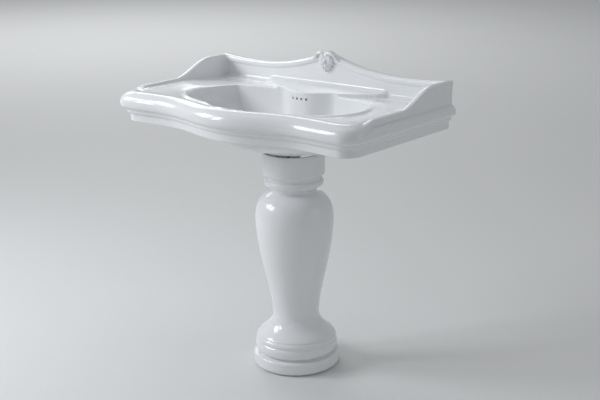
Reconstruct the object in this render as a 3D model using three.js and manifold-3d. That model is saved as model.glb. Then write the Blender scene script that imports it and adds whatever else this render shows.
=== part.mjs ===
// Pedestal sink: a wide basin with a serpentine front on a vase-shaped pedestal, with its waste,
// bottle trap and fixings. Millimetres, +Z up. The origin is on the floor, under the middle of the
// sink's width and depth: the front faces -Y and the flat back stands at +Y, against a wall.
import * as THREE from 'three';
import { mergeVertices } from 'three/addons/utils/BufferGeometryUtils.js';
import Module from 'manifold-3d';

const wasm = await Module();
wasm.setup();

// ---- Driving dimensions -------------------------------------------------------------------------

// Whole sink
const WIDTH = 912;                 // over the roll
const DEPTH = 536;                 // front of the roll to the wall face
const ROLL_MAX_Z = 836;            // height of the roll's widest line
const GAP = 0.3;                   // clearance between pieces that touch

// Basin moulding, measured down and inwards from the roll's widest line
const BAND_DROP = 56;              // roll's widest line to the underside of the lower band
const BAND_HEIGHT = 22;
const BAND_INSET = 23;
const ROLL_RISE = 33.5;            // roll's widest line to the top of the rim
const RIM_INSET = 34;              // roll's widest line to the crown of the rim
const BOW_DEPTH = 46;              // how far the middle of the front stands before its shoulders
const BOW_HALF = 260;              // half the width of the bow
const RETURN_DEPTH = 7.5;          // how far the front corners stand before the shoulders
const CORNER_R = 52;                // widest line of the roll at the front corners
const CORNER_SHRINK = 0.25;        // how fast that radius falls with the inset
const SKIRT_WALL = 16;
const DECK_DROP = 13.5;            // rim crown to the deck
const DECK_WALL = 10;
const DECK_SLOPE = 16;             // width of the slope from the rim down to the deck

// Wings and upstand
const WING_INSET = 13.5;
const WING_WALL = 18;
const WING_LOW_RISE = 5;           // rim crown to the wing's low front stretch
const WING_BACK_RISE = 54.5;       // rim crown to the wing's back
const WING_CURVE_START = 95;       // wall face to the top of the S-curve
const WING_CURVE_END = 245;        // wall face to the foot of the S-curve
const UPSTAND_WALL = 22;
const UPSTAND_LOW_RISE = 46.5;     // rim crown to the lowest stretch of the upstand
const UPSTAND_PEAK = 54;           // lowest stretch to the foot of the crest
const UPSTAND_PEAK_HALF = 290;
const LIP_HEIGHT = 17;
const LIP_PROUD = 5;
const CREST_WIDTH = 60;
const CREST_HEIGHT = 72;
const CREST_RISE = 104;            // rim crown to the top of the crest
const CREST_PROUD = 12;
const CREST_LOBES = 7;

// Bowl and tap ledge
const BOWL_HALF_WIDTH = 300;
const BOWL_FRONT_MARGIN = 55;      // roll's front line to the bowl, without the bow
const BOWL_BACK_MARGIN = 115;      // wall face to the back of the bowl
const BOWL_AXIS_BACK = 155;        // back of the bowl to its cross axis
const BOWL_BACK_SQUARENESS = 2.8;
const BOWL_BOW = 35;
const BOWL_BOW_HALF = 140;
const BOWL_DEPTH = 131;            // deck to the waste
const BOWL_WALL = 14;
const BOWL_FULLNESS = 2.6;
const LEDGE_NOSE = 45;             // how far the ledge's nose stands into the bowl
const LEDGE_NOSE_HALF = 110;
const LEDGE_HALF = 240;
const LEDGE_RISE = 8;
const OVERFLOW_HOLES = 4;
const OVERFLOW_HOLE_R = 3.5;
const OVERFLOW_PITCH = 17;
const OVERFLOW_DROP = 12;          // deck to the row of overflow holes
const DUCT_DEPTH = 18;
const DUCT_WALL = 12;

// Pedestal
const PEDESTAL_BACK = 190;         // wall face to the pedestal's axis
const PEDESTAL_DROP = 147.5;       // roll's widest line to the pedestal's top
const PLINTH_R = 136;
const PLINTH_HEIGHT = 43;
const FOOT_ROUND = 14;
const PLINTH_WALL = 32;
const TORUS_R = 129.5;
const WAIST_R = 72.5;
const WAIST_Z = 169;
const BELLY_R = 121.7;
const BELLY_DROP = 210.5;          // pedestal's top to the belly
const NECK_R = 70;
const NECK_DROP = 120.5;
const RING_R = 93;
const RING_DROP = 92.5;
const COLLAR_R = 96.5;
const COLLAR_HEIGHT = 66;
const PEDESTAL_WALL = 12;
const SLOT_HALF = 52;              // half the width of the open channel at the back

// Seat pads between the pedestal and the basin
const PAD_HEIGHT = 5;
const PAD_R = 4;
const PAD_ANGLES = [-120, -60, 28, 152];

// Waste
const WASTE_FORWARD = 23;          // pedestal's axis to the waste
const WASTE_R = 20.9;              // outside of the waste's thread
const WASTE_WALL = 3.4;
const WASTE_TAIL = 44;             // basin underside to the end of the waste's thread
const THROAT_ROOM = 2.1;           // waste's thread to the basin's throat
const THROAT_LENGTH = 46;
const FLANGE_WIDTH = 11.1;
const FLANGE_THICK = 3;
const SEAT_DEPTH = 3;
const FOAM_THICK = 2;
const GASKET_THICK = 9;
const GASKET_WIDTH = 13.1;
const SLIP_THICK = 2.2;
const BACK_NUT_WALL = 6.6;
const BACK_NUT_THICK = 12;
const PLUG_MARGIN = 1;             // edge of the plug inside the flange's edge
const PLUG_THICK = 5;
const PLUG_SEAL_WIDTH = 4.5;
const CARTRIDGE_R = 9;
const CARTRIDGE_LENGTH = 34;
const SPINDLE_R = 4;
const SPRING_WIRE = 1.2;
const SPRING_TURNS = 5;

// Trap
const COUPLING_WALL = 6.1;
const TUBE_R = 16;
const TUBE_WALL = 2;
const TUBE_LENGTH = 84;
const SPIGOT_WALL = 4;
const TRAP_MARGIN = 7;             // spigot's outside to the trap body's outside
const TRAP_WALL = 3;
const TRAP_HEIGHT = 38;
const CUP_WALL = 2;
const CUP_HEIGHT = 40;
const OUTLET_DROP = 95;            // waste's boss to the outlet pipe's axis
const OUTLET_NUT_WALL = 3;
const OUTLET_SIDE = 62;            // sideways from the waste to the pipe's end in the wall
const ROSE_WIDTH = 11;
const ROSE_THICK = 5;
const ROSE_ROOM = 3.6;             // pipe to the rose's bore, which the pipe crosses at a slant

// Fixings
const WALL_BOLT_HALF = 140;        // half the distance between the two wall studs
const WALL_BOLT_DROP = 21;         // roll's widest line to the wall studs
const STUD_R = 4.8;
const STUD_NUT_WALL = 3.7;
const BUSH_WALL = 2;
const FLOOR_SCREW_HALF = 70;
const FLOOR_SCREW_BACK = 60;       // pedestal's axis to the floor screws
const FLOOR_SCREW_R = 3;
const SLEEVE_WALL = 2;
const LUG_HEIGHT = 14;

const PEDESTAL_SIDES = 32;

// ---- Heights and places worked out from them ----------------------------------------------------

const BACK = DEPTH / 2;
const RIM_Z = ROLL_MAX_Z + ROLL_RISE;
const BAND_Z = ROLL_MAX_Z - BAND_DROP;
const DECK_Z = RIM_Z - DECK_DROP;
const LEDGE_Z = DECK_Z + LEDGE_RISE;
const BOWL_Z = DECK_Z - BOWL_DEPTH;
const SEAT_Z = BOWL_Z - SEAT_DEPTH;
const BOSS_Z = SEAT_Z - THROAT_LENGTH;
const AXIS_Y = BACK - PEDESTAL_BACK;
const PEDESTAL_TOP = ROLL_MAX_Z - PEDESTAL_DROP;
const BELLY_Z = PEDESTAL_TOP - BELLY_DROP;
const NECK_Z = PEDESTAL_TOP - NECK_DROP;
const RING_Z = PEDESTAL_TOP - RING_DROP;
const PLINTH_HOLLOW_R = PLINTH_R - PLINTH_WALL;
const WASTE_Y = AXIS_Y - WASTE_FORWARD;
const OUTLET_Z = BOSS_Z - OUTLET_DROP;
const BASIN_FOOT_Z = PEDESTAL_TOP + PAD_HEIGHT + 2 * GAP;
const THROAT_R = WASTE_R + THROAT_ROOM;
const WASTE_BORE = WASTE_R - WASTE_WALL;
const FLANGE_R = WASTE_R + FLANGE_WIDTH;
const GASKET_R = WASTE_R + GASKET_WIDTH;
const BACK_NUT_ACROSS = 2 * (WASTE_R + BACK_NUT_WALL);
const PLUG_R = FLANGE_R - PLUG_MARGIN;
const PLUG_SEAL_R = WASTE_BORE + PLUG_SEAL_WIDTH;
const COUPLING_R = WASTE_R + COUPLING_WALL;
const SPIGOT_R = TUBE_R + SPIGOT_WALL;
const TRAP_R = SPIGOT_R + TRAP_MARGIN;
const CUP_R = TRAP_R + CUP_WALL;
const OUTLET_NUT_R = SPIGOT_R + OUTLET_NUT_WALL;
const ROSE_R = TUBE_R + ROSE_WIDTH;
const ROSE_BORE = TUBE_R + ROSE_ROOM;
const OVERFLOW_Z = DECK_Z - OVERFLOW_DROP;
const ROLL_FRONT = BACK - BOW_DEPTH;
const BOWL_BACK_Y = BACK - BOWL_BACK_MARGIN;
const BOWL_AXIS_Y = BOWL_BACK_Y - BOWL_AXIS_BACK;
const BOWL_FRONT = BOWL_AXIS_Y + ROLL_FRONT - BOWL_FRONT_MARGIN;
const NOSE_Y = BOWL_BACK_Y - LEDGE_NOSE;

// ---- Finishes -----------------------------------------------------------------------------------

const FINISHES = {
  glaze: [0xf1f3f5, 0.08, 0.0],
  chrome: [0xd8dade, 0.12, 1.0],
  brass: [0xb89a5a, 0.3, 1.0],
  white_plastic: [0xe9e9e6, 0.4, 0.0],
  rubber: [0x2b2b2c, 0.8, 0.0],
  zinc: [0xb4b6b8, 0.35, 1.0],
};

const sink = new THREE.Group();

/** Adds one named piece to the sink. */
function piece(name, finish, solid, y = 0, z = 0, x = 0) {
  const [color, roughness, metalness] = FINISHES[finish];
  const material = new THREE.MeshStandardMaterial({ color, roughness, metalness });
  const geometry = solid instanceof THREE.BufferGeometry ? solid : toGeometry(solid);
  const mesh = new THREE.Mesh(geometry, material);
  mesh.name = name;
  mesh.position.set(x, y, z);
  sink.add(mesh);
}

// ---- Solids -------------------------------------------------------------------------------------

/** The triangles of a closed mesh without its empty ones, all facing out. */
function cleanTriangles(position, index) {
  const triangles = [];
  let volume = 0;
  const [a, b, c] = [new THREE.Vector3(), new THREE.Vector3(), new THREE.Vector3()];
  for (let i = 0; i < index.length; i += 3) {
    const [p, q, r] = [index[i], index[i + 1], index[i + 2]];
    if (p === q || q === r || r === p) continue;
    a.fromArray(position, 3 * p);
    b.fromArray(position, 3 * q);
    c.fromArray(position, 3 * r);
    volume += a.dot(b.cross(c));
    triangles.push(p, q, r);
  }
  return volume < 0 ? triangles.reverse() : triangles;
}

/** A closed three.js geometry as a solid that can be joined and cut. */
function toSolid(geometry) {
  const plain = geometry.clone();
  plain.deleteAttribute('normal');
  plain.deleteAttribute('uv');
  const merged = mergeVertices(plain, 1e-4);
  const vertProperties = Float32Array.from(merged.attributes.position.array);
  const triVerts = Uint32Array.from(cleanTriangles(vertProperties, merged.index.array));
  return new wasm.Manifold(new wasm.Mesh({ numProp: 3, vertProperties, triVerts }));
}

/** A solid back as a three.js geometry. */
function toGeometry(solid) {
  const { vertProperties, triVerts } = solid.getMesh();
  const geometry = new THREE.BufferGeometry();
  geometry.setAttribute('position', new THREE.BufferAttribute(Float32Array.from(vertProperties), 3));
  geometry.setIndex(Array.from(triVerts));
  return geometry;
}

/** A closed body through level rings of points, all with the same count, from the lowest up. */
function loft(rings) {
  const count = rings[0].length;
  const points = rings.flat();
  const index = [];
  for (let level = 0; level + 1 < rings.length; level += 1) {
    for (let i = 0; i < count; i += 1) {
      const low = level * count + i;
      const lowNext = level * count + ((i + 1) % count);
      index.push(low, lowNext, lowNext + count, low, lowNext + count, low + count);
    }
  }
  const cap = (ring) => THREE.ShapeUtils.triangulateShape(ring.map((p) => new THREE.Vector2(p.x, p.y)), []);
  for (const [a, b, c] of cap(rings[0])) index.push(a, c, b);
  const top = (rings.length - 1) * count;
  for (const [a, b, c] of cap(rings[rings.length - 1])) index.push(top + a, top + b, top + c);
  const geometry = new THREE.BufferGeometry().setFromPoints(points);
  geometry.setIndex(index);
  return toSolid(geometry);
}

/** A flat outline, given in x and y, pulled from one height to another. */
function prism(outline, low, high) {
  const ring = (z) => outline.map((p) => new THREE.Vector3(p.x, p.y, z));
  return loft([ring(low), ring(high)]);
}

/** A block between two corners. */
function block(x0, x1, y0, y1, z0, z1) {
  const box = new THREE.BoxGeometry(x1 - x0, y1 - y0, z1 - z0);
  box.translate((x0 + x1) / 2, (y0 + y1) / 2, (z0 + z1) / 2);
  return toSolid(box);
}

/** A body turned about the Z axis from [radius, height] points. */
function turned(profile, segments = 16) {
  const points = profile.map(([r, z]) => new THREE.Vector2(r, z));
  const lathe = new THREE.LatheGeometry(points, segments);
  lathe.rotateX(Math.PI / 2);
  return toSolid(lathe);
}

/** A plain ring or sleeve about the Z axis. */
function ring(outer, inner, low, high, segments = 16) {
  return turned([[inner, low], [outer, low], [outer, high], [inner, high], [inner, low]], segments);
}

/** A plain cylinder about the Z axis. */
function disc(radius, low, high, segments = 16) {
  return turned([[0, low], [radius, low], [radius, high], [0, high]], segments);
}

/** A nut with flat sides and a round bore, about the Z axis. */
function nut(across, bore, low, high) {
  const corner = across / Math.sqrt(3);
  return disc(corner, low, high, 6).subtract(disc(bore, low - 1, high + 1));
}

/** The same solid with its +Z axis laid along +Y. */
const alongY = (solid) => solid.rotate([-90, 0, 0]);

// ---- Basin outlines -----------------------------------------------------------------------------

/** A hump that is 1 at 0 and falls smoothly to 0 at half. */
function hump(x, half) {
  return Math.abs(x) < half ? (1 + Math.cos((Math.PI * x) / half)) / 2 : 0;
}

/** 0 below 0, 1 above 1, and a smooth step between. */
const smooth = (t) => THREE.MathUtils.smoothstep(t, 0, 1);

const CORNER_X = WIDTH / 2 - CORNER_R;

/** Front line of the roll at a distance x from the middle. */
function frontY(x) {
  const back = hump(CORNER_X - Math.abs(x), CORNER_X - BOW_HALF);
  return -ROLL_FRONT - BOW_DEPTH * hump(x, BOW_HALF) - RETURN_DEPTH * back;
}

const FRONT_STEPS = 11;
const CORNER_STEPS = 4;

/** Right half of the basin's outline, from the middle of the front to the back. */
function halfOutline(inset, backInset) {
  const points = [];
  const step = 1;
  const radius = CORNER_R - CORNER_SHRINK * inset;
  const centreX = WIDTH / 2 - inset - radius;
  const centreY = frontY(CORNER_X) + inset + radius;
  for (let i = 0; i < FRONT_STEPS; i += 1) {
    const x = (centreX * i) / FRONT_STEPS;
    const slope = (frontY(x + step) - frontY(x - step)) / (2 * step);
    const length = Math.hypot(slope, 1);
    points.push(new THREE.Vector2(x - (inset * slope) / length, frontY(x) + inset / length));
  }
  for (let i = 0; i <= CORNER_STEPS; i += 1) {
    const angle = (Math.PI / 2) * (i / CORNER_STEPS - 1);
    points.push(new THREE.Vector2(centreX + radius * Math.cos(angle), centreY + radius * Math.sin(angle)));
  }
  points.push(new THREE.Vector2(WIDTH / 2 - inset, BACK - backInset));
  return points;
}

/** The basin's whole outline at an inset from the roll's widest line, anticlockwise from the front. */
function outline(inset, backInset = 0) {
  const right = halfOutline(inset, backInset);
  const left = right.slice(1).reverse().map((p) => new THREE.Vector2(-p.x, p.y));
  return [...right, ...left];
}

/** One level ring of the basin's moulding. */
const level = (inset, z, backInset = 0) =>
  outline(inset, backInset).map((p) => new THREE.Vector3(p.x, p.y, z));

const BOWL_POINTS = 44;
const BOWL_CROWDING = 0.18;

/** Angle of a point of the bowl's outline: the points crowd towards the middle of front and back. */
function bowlAngle(i) {
  const angle = (2 * Math.PI * i) / BOWL_POINTS;
  return angle + BOWL_CROWDING * Math.sin(2 * angle);
}

/** The bowl's outline at the deck, grown sideways by a wall, anticlockwise from the right. */
function bowlOutline(grow) {
  const points = [];
  for (let i = 0; i < BOWL_POINTS; i += 1) {
    const angle = bowlAngle(i);
    const [c, s] = [Math.cos(angle), Math.sin(angle)];
    const power = s > 0 ? 2 / BOWL_BACK_SQUARENESS : 1;
    const x = (BOWL_HALF_WIDTH + grow) * Math.sign(c) * Math.abs(c) ** power;
    const reach = s > 0 ? BOWL_AXIS_BACK + grow : BOWL_FRONT + grow;
    let y = BOWL_AXIS_Y + reach * Math.sign(s) * Math.abs(s) ** power;
    y -= s > 0 ? LEDGE_NOSE * hump(x, LEDGE_NOSE_HALF) : BOWL_BOW * hump(x, BOWL_BOW_HALF);
    points.push(new THREE.Vector2(x, y));
  }
  return points;
}

const BOWL_LEVELS = 8;

/** Rings of the bowl from its low round end up to the deck. */
function bowlRings(grow, endRadius, lowZ, highZ) {
  const rim = bowlOutline(grow);
  const rings = [];
  for (let i = BOWL_LEVELS; i >= 0; i -= 1) {
    const turn = (Math.PI / 2) * (i / BOWL_LEVELS);
    const inward = 1 - Math.cos(turn) ** (2 / BOWL_FULLNESS);
    const down = Math.sin(turn) ** (2 / BOWL_FULLNESS);
    rings.push(rim.map((p, k) => {
      const angle = bowlAngle(k);
      const x = THREE.MathUtils.lerp(p.x, endRadius * Math.cos(angle), inward);
      const y = THREE.MathUtils.lerp(p.y, WASTE_Y + endRadius * Math.sin(angle), inward);
      return new THREE.Vector3(x, y, THREE.MathUtils.lerp(highZ, lowZ, down));
    }));
  }
  return rings;
}

// ---- Basin --------------------------------------------------------------------------------------

/** The basin's outer mass up to the rim, with its band, step, cove and roll. */
function moulding() {
  const stepZ = BAND_Z + BAND_HEIGHT;
  return loft([
    level(BAND_INSET, BAND_Z),
    level(BAND_INSET, stepZ),
    level(BAND_INSET - 6, stepZ + 2.5),
    level(BAND_INSET - 7, stepZ + 10),
    level(BAND_INSET - 9, stepZ + 16.5),
    level(4, ROLL_MAX_Z - 14),
    level(0.6, ROLL_MAX_Z - 7),
    level(0, ROLL_MAX_Z),
    level(2, ROLL_MAX_Z + 11),
    level(7, ROLL_MAX_Z + 20),
    level(15, RIM_Z - 6.5),
    level(25, RIM_Z - 2),
    level(RIM_INSET, RIM_Z),
  ]);
}

/** A flat outline pulled along X, given as [y, z] points. */
function pulledAlongX(points, x0, x1) {
  const shape = new THREE.Shape(points.map(([y, z]) => new THREE.Vector2(y, z)));
  const geometry = new THREE.ExtrudeGeometry(shape, { depth: x1 - x0, bevelEnabled: false });
  const turn = new THREE.Matrix4().makeBasis(
    new THREE.Vector3(0, 1, 0), new THREE.Vector3(0, 0, 1), new THREE.Vector3(1, 0, 0));
  geometry.applyMatrix4(turn);
  geometry.translate(x0, 0, 0);
  return toSolid(geometry);
}

/** A flat outline pulled forward from the wall face, given as [x, z] points. */
function pulledForward(points, depth) {
  const shape = new THREE.Shape(points.map(([x, z]) => new THREE.Vector2(x, z)));
  const geometry = new THREE.ExtrudeGeometry(shape, { depth, bevelEnabled: false });
  const turn = new THREE.Matrix4().makeBasis(
    new THREE.Vector3(1, 0, 0), new THREE.Vector3(0, 0, 1), new THREE.Vector3(0, -1, 0));
  geometry.applyMatrix4(turn);
  geometry.translate(0, BACK, 0);
  return toSolid(geometry);
}

/** Height of a wing's top at a distance from the wall. */
function wingTop(fromWall) {
  const climb = (WING_CURVE_END - fromWall) / (WING_CURVE_END - WING_CURVE_START);
  return RIM_Z + THREE.MathUtils.lerp(WING_LOW_RISE, WING_BACK_RISE, smooth(climb));
}

/** Both side wings: a wall along the sides, cut to the S-curve that rises to the back. */
function wings() {
  const tip = frontY(CORNER_X) + CORNER_R / 2;
  const profile = [[BACK, ROLL_MAX_Z], [tip - 16, ROLL_MAX_Z], [tip - 16, RIM_Z]];
  profile.push([tip, RIM_Z + WING_LOW_RISE - 2]);
  const steps = 12;
  for (let i = 0; i <= steps; i += 1) {
    const fromWall = THREE.MathUtils.lerp(WING_CURVE_END, WING_CURVE_START, i / steps);
    profile.push([BACK - fromWall, wingTop(fromWall)]);
  }
  profile.push([BACK, RIM_Z + WING_BACK_RISE]);
  const outer = prism(outline(WING_INSET), ROLL_MAX_Z - 1, RIM_Z + 2 * WING_BACK_RISE);
  const inner = prism(outline(WING_INSET + WING_WALL, -1), ROLL_MAX_Z - 2, RIM_Z + 3 * WING_BACK_RISE);
  return outer.subtract(inner).intersect(pulledAlongX(profile, -WIDTH, WIDTH));
}

const UPSTAND_HALF = WIDTH / 2 - WING_INSET - GAP;

/** Height of the upstand's top at a distance from the middle. */
function upstandTop(x) {
  const inner = Math.max(0, 1 - Math.abs(x) / UPSTAND_PEAK_HALF);
  const outer = Math.max(0, (Math.abs(x) - UPSTAND_PEAK_HALF) / (UPSTAND_HALF - UPSTAND_PEAK_HALF));
  const cornerRise = WING_BACK_RISE - UPSTAND_LOW_RISE;
  return RIM_Z + UPSTAND_LOW_RISE + UPSTAND_PEAK * inner ** 2.2 + cornerRise * outer ** 2;
}

/** A strip of the upstand that hangs a given height from its top curve. */
function upstandStrip(height, depth) {
  const steps = 26;
  const top = [];
  for (let i = 0; i <= steps; i += 1) {
    const x = UPSTAND_HALF * (1 - (2 * i) / steps);
    top.push([x, upstandTop(x)]);
  }
  const low = top.map(([x, z]) => [x, height > 0 ? z - height : ROLL_MAX_Z]).reverse();
  const ends = height > 0 ? low : [low[0], low[low.length - 1]];
  return pulledForward([...top, ...ends], depth);
}

/** The shell on the middle of the upstand: a lobed fan that narrows to a point. */
function crest() {
  const topZ = RIM_Z + CREST_RISE;
  const centreZ = topZ - 0.48 * CREST_HEIGHT;
  const points = [];
  const steps = 4 * CREST_LOBES;
  for (let i = 0; i < steps; i += 1) {
    const angle = (2 * Math.PI * i) / steps;
    const [c, s] = [Math.cos(angle), Math.sin(angle)];
    const lobe = s > 0 ? 0.92 + 0.08 * Math.abs(Math.sin(CREST_LOBES * angle)) : 0.92;
    const reach = s > 0 ? 0.48 * CREST_HEIGHT : 0.56 * CREST_HEIGHT;
    const taper = s > 0 ? 1 : 1 + 0.35 * s;
    points.push([(CREST_WIDTH / 2) * c * lobe * taper, centreZ + reach * s * (s > 0 ? lobe : 1)]);
  }
  return pulledForward(points, UPSTAND_WALL + LIP_PROUD + CREST_PROUD);
}

/** The shallow pan between the rim, the wings and the upstand. */
function deckPan() {
  const edge = RIM_INSET + 2;
  return loft([
    level(edge + DECK_SLOPE, DECK_Z, UPSTAND_WALL + DECK_SLOPE / 2),
    level(edge, RIM_Z, UPSTAND_WALL),
    level(edge, RIM_Z + 5, UPSTAND_WALL),
  ]);
}

/** The raised platform for a tap, with its nose over the back of the bowl. */
function tapLedge() {
  const right = [];
  const steps = 6;
  for (let i = 0; i <= steps; i += 1) {
    const x = (LEDGE_NOSE_HALF * i) / steps;
    const y = NOSE_Y - BOWL_WALL + LEDGE_NOSE * (1 - hump(x, LEDGE_NOSE_HALF));
    right.push(new THREE.Vector2(x, y));
  }
  const shoulderY = NOSE_Y + LEDGE_NOSE;
  const backY = BACK - UPSTAND_WALL + GAP;
  right.push(new THREE.Vector2(LEDGE_HALF * 0.85, (2 * shoulderY + backY) / 3));
  right.push(new THREE.Vector2(LEDGE_HALF, (shoulderY + 2 * backY) / 3));
  right.push(new THREE.Vector2(LEDGE_HALF, backY));
  const left = right.slice(1).reverse().map((p) => new THREE.Vector2(-p.x, p.y));
  return prism([...right, ...left], DECK_Z - DECK_WALL / 2, LEDGE_Z);
}

/** The open space under the deck, inside the skirt. */
function underside() {
  return prism(outline(BAND_INSET + SKIRT_WALL, SKIRT_WALL), BAND_Z - 1, DECK_Z - DECK_WALL);
}

const DUCT_FRONT = NOSE_Y + BOWL_WALL + 2;
const DUCT_BACK = DUCT_FRONT + DUCT_DEPTH;
const DUCT_HALF = ((OVERFLOW_HOLES - 1) * OVERFLOW_PITCH) / 2 + 2 * OVERFLOW_HOLE_R;
const PASSAGE_HALF = 12;
const PASSAGE_Z = BOSS_Z + 10;
const PASSAGE_HEIGHT = 16;

/** The walls of the overflow duct behind and under the bowl. */
function overflowWalls() {
  const tall = block(-DUCT_HALF - DUCT_WALL, DUCT_HALF + DUCT_WALL, NOSE_Y, DUCT_BACK + DUCT_WALL,
    BASIN_FOOT_Z, DECK_Z - DECK_WALL / 2);
  const low = block(-PASSAGE_HALF - 8, PASSAGE_HALF + 8, WASTE_Y, DUCT_BACK + DUCT_WALL,
    PASSAGE_Z - 6, PASSAGE_Z + PASSAGE_HEIGHT + 8);
  return tall.add(low);
}

/** The overflow's inner way, from its holes down to the waste. */
function overflowWay() {
  const top = OVERFLOW_Z + OVERFLOW_HOLE_R + 2;
  let way = block(-DUCT_HALF, DUCT_HALF, DUCT_FRONT, DUCT_BACK, PASSAGE_Z + PASSAGE_HEIGHT - 4, top);
  way = way.add(block(-PASSAGE_HALF, PASSAGE_HALF, WASTE_Y + 10, DUCT_BACK, PASSAGE_Z,
    PASSAGE_Z + PASSAGE_HEIGHT));
  for (let i = 0; i < OVERFLOW_HOLES; i += 1) {
    const x = (i - (OVERFLOW_HOLES - 1) / 2) * OVERFLOW_PITCH;
    const hole = alongY(disc(OVERFLOW_HOLE_R, 0, DUCT_FRONT + 2 - (NOSE_Y - 10), 12));
    way = way.add(hole.translate([x, NOSE_Y - 10, OVERFLOW_Z]));
  }
  return way;
}

const FOOT_TOP = BOWL_Z + 10;
const WALL_BOLT_Z = ROLL_MAX_Z - WALL_BOLT_DROP;
const BUSH_R = STUD_R + GAP + BUSH_WALL;

function basin() {
  const footInner = COLLAR_R - 16;
  const back = AXIS_Y + 0.57 * COLLAR_R;
  let foot = turned([[footInner, BASIN_FOOT_Z], [COLLAR_R - 0.5, BASIN_FOOT_Z],
    [COLLAR_R + 21, FOOT_TOP], [footInner, FOOT_TOP], [footInner, BASIN_FOOT_Z]], PEDESTAL_SIDES);
  foot = foot.translate([0, AXIS_Y, 0]).intersect(block(-WIDTH, WIDTH, -DEPTH, back, 0, 2 * RIM_Z));
  const bowlShell = loft(bowlRings(BOWL_WALL, 2 * THROAT_R, BOWL_Z - BOWL_WALL, DECK_Z - DECK_WALL / 2));
  const boss = disc(THROAT_R + 16, BOSS_Z, BOWL_Z - 2, 20).translate([0, WASTE_Y, 0]);
  const rings = bowlRings(0, FLANGE_R + 4, BOWL_Z, DECK_Z);
  const open = rings[rings.length - 1].map((p) => new THREE.Vector3(p.x, p.y, LEDGE_Z + 2));
  const seat = disc(FLANGE_R + 1.5, SEAT_Z, BOWL_Z + 4, 20);
  const throat = disc(THROAT_R, BOSS_Z - 1, BOWL_Z, 20).add(seat);
  let body = moulding().add(wings()).add(upstandStrip(0, UPSTAND_WALL));
  body = body.add(upstandStrip(LIP_HEIGHT, UPSTAND_WALL + LIP_PROUD)).add(crest());
  body = body.subtract(deckPan()).add(tapLedge()).subtract(underside());
  body = body.add(bowlShell).add(foot).add(boss).add(overflowWalls());
  body = body.subtract(loft([...rings, open])).subtract(throat.translate([0, WASTE_Y, 0]));
  body = body.subtract(overflowWay());
  for (const side of [-1, 1]) {
    const hole = alongY(disc(BUSH_R + GAP, 0, SKIRT_WALL + 4, 20));
    body = body.subtract(hole.translate([side * WALL_BOLT_HALF, BACK - SKIRT_WALL - 2, WALL_BOLT_Z]));
  }
  return body;
}

piece('basin', 'glaze', basin());

// ---- Pedestal -----------------------------------------------------------------------------------

/** Points of a curve as [radius, height] pairs, without its first one. */
function along(curve, steps) {
  return curve.getPoints(steps).slice(1).map((p) => [p.x, p.y]);
}

/** The pedestal's outer profile from the floor to its top. */
function pedestalProfile() {
  const v = (r, z) => new THREE.Vector2(r, z);
  const grooveR = TORUS_R - 10.5;
  const torusMid = PLINTH_HEIGHT + 32;
  const torusTop = PLINTH_HEIGHT + 55;
  const profile = [[PLINTH_R - 0.7 * FOOT_ROUND, 0], [PLINTH_R - 0.2 * FOOT_ROUND, 0.35 * FOOT_ROUND],
    [PLINTH_R, FOOT_ROUND]];
  profile.push([PLINTH_R, PLINTH_HEIGHT - 7], [PLINTH_R - 5, PLINTH_HEIGHT]);
  profile.push([grooveR, PLINTH_HEIGHT + 4]);
  profile.push(...along(new THREE.QuadraticBezierCurve(
    v(grooveR, PLINTH_HEIGHT + 6), v(TORUS_R, PLINTH_HEIGHT + 8), v(TORUS_R, torusMid)), 2));
  profile.push(...along(new THREE.QuadraticBezierCurve(
    v(TORUS_R, torusMid), v(TORUS_R, torusTop - 4), v(grooveR + 2, torusTop)), 2));
  profile.push([grooveR + 3, torusTop + 3], [grooveR, torusTop + 6], [grooveR, torusTop + 10]);
  profile.push(...along(new THREE.CubicBezierCurve(
    v(grooveR, torusTop + 10), v(grooveR - 16, torusTop + 30), v(WAIST_R, WAIST_Z - 34), v(WAIST_R, WAIST_Z)), 4));
  profile.push(...along(new THREE.CubicBezierCurve(
    v(WAIST_R, WAIST_Z), v(WAIST_R + 2, WAIST_Z + 90), v(BELLY_R, BELLY_Z - 150), v(BELLY_R, BELLY_Z)), 5));
  profile.push(...along(new THREE.CubicBezierCurve(
    v(BELLY_R, BELLY_Z), v(BELLY_R, BELLY_Z + 48), v(NECK_R + 30, NECK_Z - 18), v(NECK_R, NECK_Z - 5)), 5));
  profile.push([NECK_R, NECK_Z + 2], [RING_R - 8, RING_Z - 14]);
  profile.push([RING_R - 1.5, RING_Z - 8], [RING_R, RING_Z - 2], [RING_R - 3, RING_Z + 5]);
  profile.push([RING_R - 7, RING_Z + 8], [RING_R - 6, RING_Z + 12]);
  const collarFoot = PEDESTAL_TOP - COLLAR_HEIGHT;
  profile.push([COLLAR_R - 5, collarFoot - 5], [COLLAR_R, collarFoot + 1]);
  profile.push([COLLAR_R, PEDESTAL_TOP - 3], [COLLAR_R - 2, PEDESTAL_TOP]);
  return profile;
}

const COLLAR_HOLLOW_R = COLLAR_R - PEDESTAL_WALL;

/** The pedestal's inner profile from its top down to the floor. */
function hollowProfile() {
  return [
    [COLLAR_HOLLOW_R, PEDESTAL_TOP],
    [COLLAR_HOLLOW_R, RING_Z + 4],
    [NECK_R - PEDESTAL_WALL, NECK_Z + 12],
    [NECK_R - PEDESTAL_WALL, NECK_Z - 8],
    [BELLY_R - 1.8 * PEDESTAL_WALL, BELLY_Z + 44],
    [BELLY_R - PEDESTAL_WALL, BELLY_Z],
    [BELLY_R - 1.4 * PEDESTAL_WALL, THREE.MathUtils.lerp(WAIST_Z, BELLY_Z, 0.8)],
    [WAIST_R + 1.2 * PEDESTAL_WALL, THREE.MathUtils.lerp(WAIST_Z, BELLY_Z, 0.48)],
    [WAIST_R - PEDESTAL_WALL, WAIST_Z + 25],
    [WAIST_R - PEDESTAL_WALL, WAIST_Z - 12],
    [PLINTH_HOLLOW_R, PLINTH_HEIGHT + 52],
    [PLINTH_HOLLOW_R, 0],
  ];
}

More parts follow.
